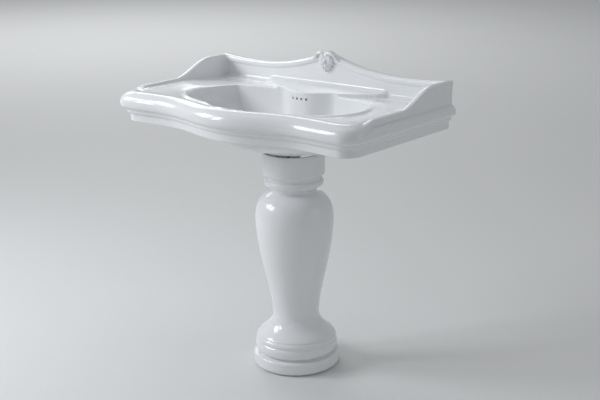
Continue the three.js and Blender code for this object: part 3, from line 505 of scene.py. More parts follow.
def eased(profile: Sequence[tuple], radius: float, closed: bool = True) -> list:
    """Rounds the corners of an outline.

    Args:
        profile: the outline's corners.
        radius: how far from each corner the rounding starts, at most.
        closed: whether the outline closes on itself.

    Returns:
        The outline with each corner as three or more points.
    """
    corners = [np.array(point, float) for point in profile]
    count = len(corners)
    out = []
    for i, corner in enumerate(corners):
        if not closed and i in (0, count - 1):
            out.append(tuple(corner))
            continue
        before, after = corners[i - 1], corners[(i + 1) % count]
        to_before, to_after = before - corner, after - corner
        reach = min(radius, 0.45 * np.linalg.norm(to_before), 0.45 * np.linalg.norm(to_after))
        start = corner + to_before / np.linalg.norm(to_before) * reach
        end = corner + to_after / np.linalg.norm(to_after) * reach
        for t in (0.0, 0.33, 0.67, 1.0):
            u = 1.0 - t
            out.append(tuple(u * u * start + 2 * u * t * corner + t * t * end))
    return out


def centre_of(node: str) -> Vector:
    """The middle of a node's box, in millimetres."""
    low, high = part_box(node)
    return (low + high) / 2.0 / MM


def carve(piece: bpy.types.Object, cutters: Sequence[bpy.types.Object]) -> None:
    """Cuts bodies out of a piece and removes them."""
    for cutter in cutters:
        cut = piece.modifiers.new("cut", "BOOLEAN")
        cut.object = cutter
        cut.solver = "EXACT"
        cut.operation = "DIFFERENCE"
    graph = bpy.context.evaluated_depsgraph_get()
    mesh = bpy.data.meshes.new_from_object(piece.evaluated_get(graph))
    piece.modifiers.clear()
    piece.data = mesh
    mesh.set_sharp_from_angle(angle=math.radians(40.0))
    for cutter in cutters:
        bpy.data.objects.remove(cutter)


def settle(piece: bpy.types.Object, body: str, finish: Finish, *nodes: str) -> bpy.types.Object:
    """Dresses a piece, hangs it on its body and lets it stand for CAD nodes.

    Args:
        piece: the piece.
        body: the body it moves with.
        finish: its finish.
        nodes: the nodes it stands for.

    Returns:
        The piece.
    """
    finish.dress(piece)
    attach(piece, body)
    if nodes:
        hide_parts(*nodes)
    finish.slot
    LOG.info("%s on %s, %d faces", piece.name, body, len(piece.data.polygons))
    return piece


# ---- Basin --------------------------------------------------------------------------------------


class Base(Enum):
    """What a ring's height is measured from."""

    LEVEL = "floor"
    TOP = "top curve of the wings and the upstand"
    DECK = "deck at the ring's own place"


@dataclass(frozen=True)
class Band:
    """One ring of the basin's outside: its inset and height along the front, the sides and the back."""

    front: tuple
    side: tuple
    back: tuple
    base: Base = Base.LEVEL
    floor: float = 0.0
    corner: float = 2.0


@dataclass
class Basin:
    """The basin: one casting with its bowl, deck, tap ledge, wings, upstand and moulding."""

    rim_z: float = 869.5
    bow_depth: float = 46.0
    bow_half: float = 260.0
    return_depth: float = 7.5
    corner_r: float = 52.0
    corner_shrink: float = 0.25
    bull_nose_end: float = -200.0
    bull_nose_fade: float = 90.0
    wing_inset: float = 13.5
    wing_wall: float = 18.0
    wing_front_rise: float = 5.0
    wing_back_rise: float = 54.5
    curve_start: float = 95.0
    curve_end: float = 252.0
    upstand_wall: float = 22.0
    upstand_rise: float = 46.5
    upstand_peak: float = 54.0
    peak_half: float = 290.0
    deck_z: float = 857.0
    ledge_rise: float = 8.0
    ledge_half: float = 232.0
    nose: float = 45.0
    nose_half: float = 110.0
    bowl_half: float = 307.0
    crease_x: float = 241.0
    crease_drop: float = 29.0
    bowl_front: float = 165.0
    bowl_back: float = 155.0
    bowl_margin: float = 115.0
    bowl_squareness: float = 2.5
    bowl_front_squareness: float = 2.2
    bowl_bow: float = 35.0
    bowl_bow_half: float = 140.0
    bowl_z: float = 725.0
    bowl_wall: float = 14.0
    fullness: float = 2.6
    throat_r: float = 23.0
    seat_r: float = 33.5
    seat_z: float = 722.0
    boss_z: float = 676.0
    hole_r: float = 4.0
    hole_pitch: float = 17.0
    hole_z: float = 844.0
    stud_hole_r: float = 7.4
    front_steps: int = 66
    corner_steps: int = 18
    side_steps: int = 66
    back_corner_steps: int = 8
    back_steps: int = 72

    def __post_init__(self) -> None:
        """Takes the outer size from the frame."""
        low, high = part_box("basin")
        self.half = (high.x - low.x) / MM / 2.0
        self.back = high.y / MM
        self.corner_x = self.half - self.corner_r
        self.waste_y = centre_of("waste_body").y
        self.bowl_axis = self.back - self.bowl_margin - self.bowl_back
        self.nose_y = self.back - self.bowl_margin - self.nose
        corner_y = float(self.front_y(np.array([self.corner_x]))[0]) + self.corner_r
        turn = np.linspace(-np.pi / 2.0, 0.0, self.corner_steps + 1)
        bend = corner_y + self.corner_r * np.sin(turn)
        flank = np.linspace(corner_y, self.back, self.side_steps + 1)[1:-1]
        self.bend_share = smooth((bend - self.bull_nose_end) / self.bull_nose_fade)
        self.flank_share = smooth((flank - self.bull_nose_end) / self.bull_nose_fade)
        self.stations = self.plan(0.0, 0.0, 0.0, 2.0)
        steps = np.linalg.norm(np.diff(self.stations, axis=0), axis=1)
        self.fractions = np.concatenate([[0.0], np.cumsum(steps)]) / steps.sum()

    # Plans, as the right half from the middle of the front to the middle of the back

    def front_y(self, x: np.ndarray) -> np.ndarray:
        """Front line of the roll at a distance x from the middle."""
        back = hump(self.corner_x - np.abs(x), self.corner_x - self.bow_half)
        start = -(self.back - self.bow_depth)
        return start - self.bow_depth * hump(x, self.bow_half) - self.return_depth * back

    def plan(self, front: float, side: float, back: float, corner: float) -> np.ndarray:
        """The right half of the basin's outline.

        Args:
            front: inset of the front.
            side: inset of the side.
            back: inset of the back.
            corner: radius of the corner between side and back.

        Returns:
            Points from the middle of the front to the middle of the back.
        """
        end_x = self.half - front - self.corner_r + self.corner_shrink * front
        x = np.linspace(0.0, end_x, self.front_steps + 1)[:-1]
        slope = (self.front_y(x + 0.5) - self.front_y(x - 0.5))
        length = np.hypot(slope, 1.0)
        head = np.stack([x - front * slope / length, self.front_y(x) + front / length], axis=1)
        turn = np.linspace(-np.pi / 2.0, 0.0, self.corner_steps + 1)
        inset = lerp(front, side, self.bend_share)
        radius = self.corner_r - self.corner_shrink * inset
        centre_x = self.half - inset - radius
        centre_y = float(self.front_y(np.array([self.corner_x]))[0]) + inset + radius
        bend = np.stack([centre_x + radius * np.cos(turn), centre_y + radius * np.sin(turn)], axis=1)
        side_x = self.half - side
        end_y = self.back - back - corner
        y = np.linspace(centre_y[-1], end_y, self.side_steps + 1)[1:-1]
        flank = np.stack([self.half - lerp(front, side, self.flank_share), y], axis=1)
        turn = np.linspace(0.0, np.pi / 2.0, self.back_corner_steps + 1)
        knuckle = np.stack([side_x - corner + corner * np.cos(turn),
                            end_y + corner * np.sin(turn)], axis=1)
        x = np.linspace(side_x - corner, 0.0, self.back_steps + 1)[1:]
        tail = np.stack([x, np.full_like(x, self.back - back)], axis=1)
        return np.vstack([head, bend, flank, knuckle, tail])

    def weights(self) -> tuple:
        """How far each station belongs to the side, and to the back."""
        knuckle = smooth(np.linspace(0.0, 1.0, self.back_corner_steps + 1))
        side = np.concatenate([np.zeros(self.front_steps), self.bend_share, self.flank_share,
                               np.ones(self.back_corner_steps + 1), np.ones(self.back_steps)])
        back = np.concatenate([np.zeros(self.front_steps + self.corner_steps + self.side_steps),
                               knuckle, np.ones(self.back_steps)])
        return side, back

    def bowl_plan(self, grow: float = 0.0) -> np.ndarray:
        """The right half of the bowl's outline, matched to the outer stations.

        Args:
            grow: how far outside the bowl's edge the points stand.

        Returns:
            Points from the middle of the front to the middle of the back.
        """
        angle = np.linspace(-np.pi / 2.0, np.pi / 2.0, 4001)
        c, s = np.cos(angle), np.sin(angle)
        power = 2.0 / np.where(s > 0, self.bowl_squareness, self.bowl_front_squareness)
        x = self.bowl_half * np.abs(c) ** power
        y = self.bowl_axis - self.bowl_front * np.abs(s) ** power
        lobe = np.clip(1.0 - (x / self.bowl_half) ** 3.6, 0.0, 1.0) ** 0.72
        side = self.bowl_axis + 1.95 * (self.bowl_back - self.crease_drop) * lobe * 0.88
        rear = self.bowl_axis + self.bowl_back - self.crease_drop * (x / self.crease_x) ** 2
        ease = 2.2
        meet = -ease * np.logaddexp(-side / ease, -rear / ease)
        y = np.where(s > 0, meet, y)
        flatter = np.clip(np.abs(x) / self.nose_half, 0.0, 1.0) ** 1.25 * self.nose_half
        y = y - np.where(s > 0, self.nose * hump(flatter, self.nose_half),
                         self.bowl_bow * hump(x, self.bowl_bow_half))
        tangent = np.gradient(np.stack([x, y], axis=1), axis=0)
        tangent /= np.maximum(np.linalg.norm(tangent, axis=1), 1e-9)[:, None]
        x = x + tangent[:, 1] * grow
        y = y - tangent[:, 0] * grow
        x[0] = x[-1] = 0.0
        steps = np.hypot(np.diff(x), np.diff(y))
        along = np.concatenate([[0.0], np.cumsum(steps)]) / steps.sum()
        return np.stack([np.interp(self.fractions, along, x), np.interp(self.fractions, along, y)], axis=1)

    # Heights

    def wing_top(self, y: np.ndarray) -> np.ndarray:
        """Height of a wing's top."""
        climb = (self.curve_end - (self.back - y)) / (self.curve_end - self.curve_start)
        return self.rim_z + lerp(self.wing_front_rise, self.wing_back_rise, smooth(climb))

    def upstand_top(self, x: np.ndarray) -> np.ndarray:
        """Height of the upstand's top."""
        reach = self.half - self.wing_inset
        inner = np.clip(1.0 - np.abs(x) / self.peak_half, 0.0, None)
        outer = np.clip((np.abs(x) - self.peak_half) / (reach - self.peak_half), 0.0, 1.0)
        rise = self.wing_back_rise - self.upstand_rise
        return self.rim_z + self.upstand_rise + self.upstand_peak * inner**2.2 + rise * outer**2

    def ledge(self, x: np.ndarray, y: np.ndarray, blur: float = 7.0) -> np.ndarray:
        """1 on the raised tap ledge and 0 off it."""
        reach = np.abs(x)
        shoulder = self.bowl_axis + self.bowl_back
        nose = shoulder - self.nose * hump(reach, self.nose_half) - 12.0
        flank = shoulder - 12.0 + (reach - self.nose_half) * 0.62
        edge = np.where(reach < self.nose_half, nose, flank)
        inside = (y - edge) / np.hypot(1.0, np.where(reach < self.nose_half, 0.4, 0.62))
        return smooth(inside / blur + 0.5) * smooth((self.ledge_half - reach) / (2 * blur))

    def recess(self, x: np.ndarray, y: np.ndarray) -> np.ndarray:
        """1 in the soap recesses beside the ledge and 0 off them."""
        u = (np.abs(x) - 312.0) / 78.0
        v = (y - self.back + 79.0) / 36.0
        return smooth((1.0 - (np.abs(u) ** 3.0 + np.abs(v) ** 3.0) ** (1.0 / 3.0)) * 4.0)

    def deck(self, x: np.ndarray, y: np.ndarray, t: np.ndarray, off: np.ndarray) -> np.ndarray:
        """Height of the deck.

        Args:
            x: places across the sink.
            y: places along it.
            t: 0 at the bowl's edge and 1 at the deck's outer edge.
            off: distance from the bowl's edge.

        Returns:
            The heights.
        """
        side, back = self.weights()
        from_wall = np.array([0.0, 41.0, 107.0, 154.0, 199.0, 244.0, 374.0, 436.0])
        rise = np.array([-8.5, -8.0, -3.0, 2.0, 7.0, 8.6, 9.2, 11.6])
        along = np.interp(self.back - y, from_wall, rise)
        outer = self.deck_z + lerp(lerp(8.0, along, side), -3.0, back)
        height = lerp(self.deck_z + 1.0, outer, smooth(t))
        front = 1.0 - smooth((y + 10.0) / 110.0)
        bead = np.exp(-(((off - 11.0) / 7.5) ** 2))
        valley = np.exp(-(((off - 27.0) / 9.0) ** 2))
        height = height + front * (4.2 * bead - 1.2 * valley)
        height = height - 3.4 * self.recess(x, y) * (1.0 - self.ledge(x, y))
        return height + (self.deck_z + self.ledge_rise - height) * self.ledge(x, y)

    # Rings

    def bands(self) -> list:
        """The rings from the deck's outer edge over the rim and down the outside to the skirt's foot."""
        rim = self.rim_z
        wing, wall = self.wing_inset + self.wing_wall, self.upstand_wall
        out = []
        for k, angle in enumerate(np.radians([0, 18, 36, 54, 72, 90])):
            wide, high = 1.0 - math.sin(angle), 1.0 - math.cos(angle)
            share = k / 5.0
            front = (52.0 - 14.0 * share, 4.4 * float(smooth(np.array(share))))
            out.append(Band(front, (wing + 5.0 * wide, 5.0 * high), (wall + 13.0 * wide, 13.0 * high),
                            Base.DECK, corner=20.0 - 6.0 * share))
        nose = [(30.0, 0.0), (27.5, 0.0), (25.0, -0.3), (22.0, -1.2), (19.0, -2.5), (16.5, -3.9),
                (14.2, -5.4), (12.2, -6.9), (10.3, -8.6), (8.7, -10.3), (7.2, -12.1), (5.9, -14.0),
                (4.7, -16.1), (3.6, -18.5), (2.7, -20.8), (1.9, -23.2), (1.2, -25.8), (0.7, -28.4)]
        side = [(wing, -26.0), (wing, -20.5), (wing, -16.5), (wing, -12.0), (wing, -6.0), (wing - 1.0, -3.0),
                (wing - 3.2, -1.0), (wing - 6.2, -0.1), (wing - 10.0, 0.0), (16.4, -0.3), (13.8, -1.4),
                (12.1, -3.6), (11.5, -6.5), (11.4, -13.5), (11.9, -16.2), (13.2, -18.3), (13.5, -21.0),
                (13.5, -24.0)]
        back = [(wall, -26.0), (wall, -22.0), (wall + 0.8, -19.3), (wall + 3.2, -17.6), (wall + 4.8, -14.6),
                (wall + 5.0, -9.0), (wall + 4.4, -4.2), (wall + 2.4, -1.2), (wall - 1.0, 0.0), (6.0, 0.0),
                (3.0, -0.4), (1.2, -1.4), (0.3, -3.2), (0.0, -6.0), (0.0, -9.0), (0.0, -14.0), (0.0, -21.0),
                (0.0, -28.0)]
        floors = [0, 0, 0, 0, 0, 0, 0, 0, 0, 0, 0, 0, 0, rim - 9, rim - 10.5, rim - 12, rim - 13, rim - 14.2]
        for f, s, b, floor in zip(nose, side, back, floors):
            inner = b[0] >= wall
            out.append(Band((1.2 * f[0], rim + f[1]), s, b, Base.TOP, float(floor), 14.0 if inner else 1.5))
        shoulder = [(0.45, 838.5, 14.4, 853.6), (0.15, 837.0, 13.4, 852.9), (0.0, 836.0, 10.2, 851.6),
                    (0.05, 834.5, 6.4, 848.4), (0.15, 833.0, 2.9, 843.0), (0.35, 831.5, 0.9, 837.8),
                    (0.7, 829.6, 0.2, 833.4)]
        moulding = [(1.3, 827.6), (2.3, 825.4), (3.9, 823.2), (6.2, 821.3), (9.0, 819.7), (11.8, 818.2),
                    (13.9, 816.2), (15.0, 813.2), (15.6, 809.8), (16.4, 806.8), (18.0, 805.2), (20.4, 804.4),
                    (22.2, 803.0), (23.0, 800.0), (23.1, 791.0), (23.0, 783.5), (23.6, 781.0), (25.6, 780.0)]
        crease = shoulder + [(inset, z, inset, z) for inset, z in moulding]
        for front_inset, front_z, side_inset, side_z in crease:
            out.append(Band((front_inset, front_z), (side_inset, side_z), (0.0, side_z), corner=1.5))
        for inset, back_inset, z in ((37.0, 13.5, 780.0), (38.6, 15.6, 781.2), (39.0, 16.0, 784.0),
                                     (39.0, 16.0, 812.0), (39.0, 16.0, 838.0), (41.5, 18.5, 844.0),
                                     (47.0, 24.0, 846.0)):
            out.append(Band((inset, z), (inset, z), (back_inset, z), corner=6.0))
        return out

    def band_ring(self, band: Band, edge_z: np.ndarray) -> np.ndarray:
        """One outer ring, as the right half's points.

        Args:
            band: the ring.
            edge_z: height of the deck's outer edge at each station.

        Returns:
            The points.
        """
        plan = self.plan(band.front[0], band.side[0], band.back[0], band.corner)
        side, back = self.weights()
        x, y = plan[:, 0], plan[:, 1]
        if band.base is Base.DECK:
            front_z, side_z, back_z = (edge_z + offset for offset in
                                       (band.front[1], band.side[1], band.back[1]))
        elif band.base is Base.TOP:
            front_z = np.full_like(x, band.front[1])
            side_z = np.maximum(self.wing_top(y) + band.side[1], band.floor)
            foot = edge_z + 5.0
            side_z = np.where(band.side[0] >= self.wing_inset + self.wing_wall - 4.0,
                              np.maximum(side_z, np.minimum(foot, self.wing_top(y) - 3.0)), side_z)
            back_z = self.upstand_top(x) + band.back[1]
        else:
            front_z, side_z, back_z = (np.full_like(x, value) for value in
                                       (band.front[1], band.side[1], band.back[1]))
        z = lerp(lerp(front_z, side_z, side), back_z, back)
        return np.stack([x, y, z], axis=1)

    def rings(self) -> np.ndarray:
        """Every ring of the casting, from the throat over the bowl and round to the throat again."""
        rim = self.bowl_plan()
        heading = np.arctan2(rim[:, 1] - 30.0, rim[:, 0])
        circle = np.stack([np.cos(heading), np.sin(heading)], axis=1)
        circle[0], circle[-1] = (0.0, -1.0), (0.0, 1.0)
        centre = np.array([0.0, self.waste_y])

        def level(radius: float, z: float) -> np.ndarray:
            """A level circle round the waste."""
            return np.column_stack([centre + circle * radius, np.full(len(rim), z)])

        first_band = self.bands()[0]
        edge = self.plan(first_band.front[0], first_band.side[0], first_band.back[0], first_band.corner)
        round_r = 3.0
        near = self.bowl_plan(round_r)
        reach = np.linalg.norm(edge - near, axis=1)
        top_z = self.deck(near[:, 0], near[:, 1], np.zeros(len(rim)), np.full(len(rim), round_r))
        out = [level(self.throat_r, self.boss_z), level(self.throat_r, self.seat_z - 12.0),
               level(self.throat_r, self.seat_z - 1.0), level(self.throat_r + 1.0, self.seat_z),
               level(self.seat_r - 1.0, self.seat_z), level(self.seat_r, self.seat_z + 0.8),
               level(self.seat_r + 0.4, self.bowl_z - 0.8), level(self.seat_r + 1.8, self.bowl_z)]
        end = level(self.seat_r + 2.5, self.bowl_z)
        wall_z = top_z - round_r
        for turn in np.linspace(np.pi / 2.0, 0.0, 40)[1:]:
            inward = 1.0 - math.cos(turn) ** (2.0 / self.fullness)
            down = math.sin(turn) ** (2.0 / self.fullness)
            plan = lerp(rim, end[:, :2], inward)
            out.append(np.column_stack([plan, lerp(wall_z, end[:, 2], down)]))
        for angle in np.radians([22.5, 45.0, 67.5]):
            plan = lerp(near, rim, math.cos(angle))
            out.append(np.column_stack([plan, wall_z + round_r * math.sin(angle)]))
        steps = 44
        for t in np.linspace(0.0, 1.0, steps):
            plan = lerp(near, edge, t)
            height = self.deck(plan[:, 0], plan[:, 1], np.full(len(rim), t), round_r + t * reach)
            out.append(np.column_stack([plan, height]))
        edge_z = out[-1][:, 2].copy()
        for band in self.bands()[1:]:
            out.append(self.band_ring(band, edge_z))
        under = out[-1]
        shell = self.bowl_plan(self.bowl_wall)
        shell_top = np.column_stack([shell, np.full(len(rim), 843.0)])
        for t in (0.3, 0.65, 0.9):
            out.append(lerp(under, shell_top, t))
        low = level(self.throat_r + 24.0, self.bowl_z - self.bowl_wall)
        for turn in np.linspace(0.0, np.pi / 2.0, 16):
            inward = 1.0 - math.cos(turn) ** (2.0 / self.fullness)
            down = math.sin(turn) ** (2.0 / self.fullness)
            plan = lerp(shell, low[:, :2], inward)
            out.append(np.column_stack([plan, lerp(shell_top[:, 2], low[:, 2], down)]))
        boss = self.throat_r + 16.0
        out += [level(boss + 3.0, self.bowl_z - self.bowl_wall - 2.0), level(boss, self.bowl_z - 20.0),
                level(boss, self.boss_z + 1.5), level(boss - 1.5, self.boss_z)]
        return np.array(out)

    def build(self) -> None:
        """Builds the casting and the pieces of it that stand on their own."""
        half = self.rings()
        left = half[:, -2:0:-1, :] * np.array([-1.0, 1.0, 1.0])
        rings = np.concatenate([half, left], axis=1)
        casting = make_mesh("basin_casting", rings.reshape(-1, 3), skin(rings, across=True), 55.0)
        outward(casting)
        self.drill(casting)
        settle(casting, ROOT, Finish.BASIN, "basin")
        self.foot()
        self.duct()
        Crest(self).build()

    def drill(self, casting: bpy.types.Object) -> None:
        """Sinks the four overflow holes and the two stud holes into the casting."""
        cutters = []
        for i in range(4):
            x = (i - 1.5) * self.hole_pitch
            profile = [(0, 0), (self.hole_r, 0), (self.hole_r, 30.0), (0, 30.0)]
            place = (x, self.nose_y - 8.0, self.hole_z)
            cutters.append(turned(f"cutter_{i}", profile, place, 24, along_y=True))
        for word in ("left", "right"):
            stud = centre_of(f"wall_stud_{word}")
            profile = [(0, 0), (self.stud_hole_r, 0), (self.stud_hole_r, 30.0), (0, 30.0)]
            place = (stud.x, self.back - 25.0, stud.z)
            cutters.append(turned(f"cutter_{word}", profile, place, 24, along_y=True))
        carve(casting, cutters)

    def foot(self) -> None:
        """The ring under the bowl that stands over the pedestal."""
        axis_y = Pedestal().axis_y
        cut_y = axis_y + 55.0
        outer = [(92.0, 694.1), (94.5, 694.4), (96.0, 696.0), (97.0, 699.0)]
        outer += bezier((97.0, 699.0), (99.0, 712.0), (108.0, 728.0), (124.0, 742.0), 8)
        inner = [(96.0, 742.0), (80.0, 736.0), (80.0, 697.0), (81.5, 694.4), (84.0, 694.1)]
        profile = outer + inner
        columns = 97
        rings = []
        for radius, height in profile:
            start = math.pi - math.asin((cut_y - axis_y) / radius)
            angles = np.linspace(start, 3.0 * math.pi - start, columns)
            rings.append(np.stack([radius * np.cos(angles), axis_y + radius * np.sin(angles),
                                   np.full(columns, height)], axis=1))
        rings = np.array(rings)
        faces = skin(rings, across=True, around=False)
        count = len(profile)
        faces.append([level * columns for level in range(count)][::-1])
        faces.append([level * columns + columns - 1 for level in range(count)])
        piece = make_mesh("basin_foot", rings.reshape(-1, 3), faces, 50.0)
        outward(piece)
        settle(piece, ROOT, Finish.FOOT)

    def duct(self) -> None:
        """The overflow duct's casting behind and under the bowl."""
        tiers = [(690.0, 19.0, -38.0, 42.0), (700.0, 22.0, -42.0, 44.0), (716.0, 28.0, -30.0, 44.5),
                 (732.0, 42.0, -8.0, 44.5), (748.0, 44.5, 9.0, 44.5), (846.0, 44.5, 12.0, 44.5)]
        rings = []
        for z, half, near, far in tiers:
            near, far = self.nose_y + near, self.nose_y + far
            corners = [(half, near), (half, far), (-half, far), (-half, near)]
            outline = eased(corners, 7.0)
            rings.append(np.array([(x, y, z) for x, y in outline]))
        rings = np.array(rings)
        faces = skin(rings)
        count = rings.shape[1]
        faces.append(list(range(count))[::-1])
        last = (len(tiers) - 1) * count
        faces.append([last + i for i in range(count)])
        piece = make_mesh("overflow_duct", rings.reshape(-1, 3), faces, 40.0)
        outward(piece)
        reach = 1.5 * self.hole_pitch + 3.0 * self.hole_r
        corners = [(-reach, 5.0), (reach, 5.0), (reach, 34.0), (-reach, 34.0)]
        way = np.array([[(x, self.nose_y + y, z) for x, y in corners] for z in (740.0, 850.0)])
        room = make_mesh("cutter_way", way.reshape(-1, 3), skin(way) + [[3, 2, 1, 0], [4, 5, 6, 7]])
        outward(room)
        carve(piece, [room])
        settle(piece, ROOT, Finish.BASIN)


@dataclass
class Crest:
    """The leaf on the middle of the upstand, under two scrolls that the lip rises into."""

    basin: Basin
    width: float = 54.0
    height: float = 64.0
    proud: float = 10.0
    lobes: int = 7
    top_rise: float = 101.0
    lip_proud: float = 5.0

    def build(self) -> None:
        """Builds the leaf and its two scrolls."""
        self.top = self.basin.rim_z + self.top_rise
        self.front = self.basin.back - self.basin.upstand_wall - self.lip_proud
        self.leaf()
        for side, word in ((-1.0, "left"), (1.0, "right")):
            self.scroll(side, word)

    def outline(self, share: np.ndarray) -> np.ndarray:
        """Points of the leaf's edge round its middle, for shares from 0 to 1."""
        angle = 2.0 * np.pi * share
        c, s = np.cos(angle), np.sin(angle)
        low = np.clip((0.3 - s) / 1.0, 0.0, 1.0)
        lobe = 1.0 - 0.13 * low * (0.5 - 0.5 * np.cos(2.0 * self.lobes * (angle + np.pi / 2.0)))
        x = self.width / 2.0 * c * lobe * np.where(s < 0, 1.0 + 0.22 * s, 1.0)
        z = np.where(s > 0, 0.40, 0.56) * self.height * s * lobe
        return np.stack([x, z], axis=1)

    def leaf(self) -> None:
        """The lobed leaf, from its middle out to its edge and back to the wall face."""
        columns, levels = 168, 22
        centre_z = self.top - 0.44 * self.height
        edge = self.outline(np.linspace(0.0, 1.0, columns, endpoint=False))
        heading = np.arctan2(edge[:, 0], -edge[:, 1])
        low = np.clip(np.cos(heading) + 0.35, 0.0, 1.0)
        furrow = 0.5 - 0.5 * np.cos(2.0 * self.lobes * np.arctan2(edge[:, 0], -edge[:, 1]))
        rings = []
        for s in np.linspace(0.04, 1.0, levels):
            swell = math.sqrt(max(1.0 - (s * 0.98) ** 3, 0.0))
            fade = float(smooth(np.array(s * 1.4 - 0.2)))
            depth = self.proud * (0.25 + 0.75 * swell) - 4.6 * low * furrow * fade
            depth = depth + 3.6 * math.exp(-((s / 0.26) ** 4)) - 2.6 * math.exp(-(((s - 0.36) / 0.07) ** 2))
            rings.append(np.column_stack([edge[:, 0] * s, self.front - depth, centre_z + edge[:, 1] * s]))
        for y, scale in ((self.front + 6.0, 1.0), (self.basin.back - 1.2, 1.0),
                         (self.basin.back - 0.1, 0.97)):
            rings.append(np.column_stack([edge[:, 0] * scale, np.full(columns, y),
                                          centre_z + edge[:, 1] * scale]))
        rings = np.array(rings)
        points = rings.reshape(-1, 3)
        faces = skin(rings)
        boss, rear = len(points), len(points) + 1
        points = np.vstack([points, [0.0, self.front - self.proud - 3.6, centre_z],
                            [0.0, self.basin.back - 0.1, centre_z]])
        last = (len(rings) - 1) * columns
        for i in range(columns):
            j = (i + 1) % columns
            faces.append([boss, i, j])
            faces.append([rear, last + j, last + i])
        piece = make_mesh("crest_leaf", points, faces, 60.0)
        outward(piece)
        settle(piece, ROOT, Finish.BASIN)

    def scroll(self, side: float, word: str) -> None:
        """One scroll: the lip rising over the leaf, turning down and tapering into a curl.

        Args:
            side: -1 for the left and 1 for the right.
            word: the side's name.
        """
        steps, sides = 72, 16
        lip = float(self.basin.upstand_top(np.array([50.0]))[0])
        knots = np.array([(50.0, lip - 6.0, 3.6), (42.0, lip - 2.0, 4.6), (32.0, self.top - 9.0, 5.4),
                          (21.0, self.top - 4.5, 5.2), (10.5, self.top - 5.5, 4.6),
                          (5.4, self.top - 13.0, 3.8), (8.6, self.top - 21.0, 3.2),
                          (16.0, self.top - 22.0, 2.7), (18.6, self.top - 16.5, 2.2),
                          (14.6, self.top - 13.4, 1.8), (12.2, self.top - 16.2, 1.4)])
        wide = np.linspace(0.0, len(knots) - 1.0, steps)
        path = np.stack([spline(knots[:, axis], wide) for axis in range(3)], axis=1)
        radii = path[:, 2].copy()
        lift = smooth(wide / 3.0) * (self.proud - 3.0)
        path = np.stack([side * path[:, 0], self.front - lift, path[:, 1]], axis=1)
        tangent = np.gradient(path, axis=0)
        tangent /= np.linalg.norm(tangent, axis=1)[:, None]
        forward = np.tile([0.0, 1.0, 0.0], (steps, 1))
        sideways = np.cross(tangent, forward)
        sideways /= np.linalg.norm(sideways, axis=1)[:, None]
        forward = np.cross(sideways, tangent)
        angles = np.linspace(0.0, 2.0 * np.pi, sides, endpoint=False)
        rings = np.array([[path[i] + radii[i] * (math.cos(a) * sideways[i] + math.sin(a) * forward[i])
                           for a in angles] for i in range(steps)])
        faces = skin(rings)
        faces.append(list(range(sides))[::-1])
        faces.append([(steps - 1) * sides + i for i in range(sides)])
        piece = make_mesh(f"crest_scroll_{word}", rings.reshape(-1, 3), faces, 60.0)
        outward(piece)
        settle(piece, ROOT, Finish.BASIN)


# ---- Pedestal -----------------------------------------------------------------------------------


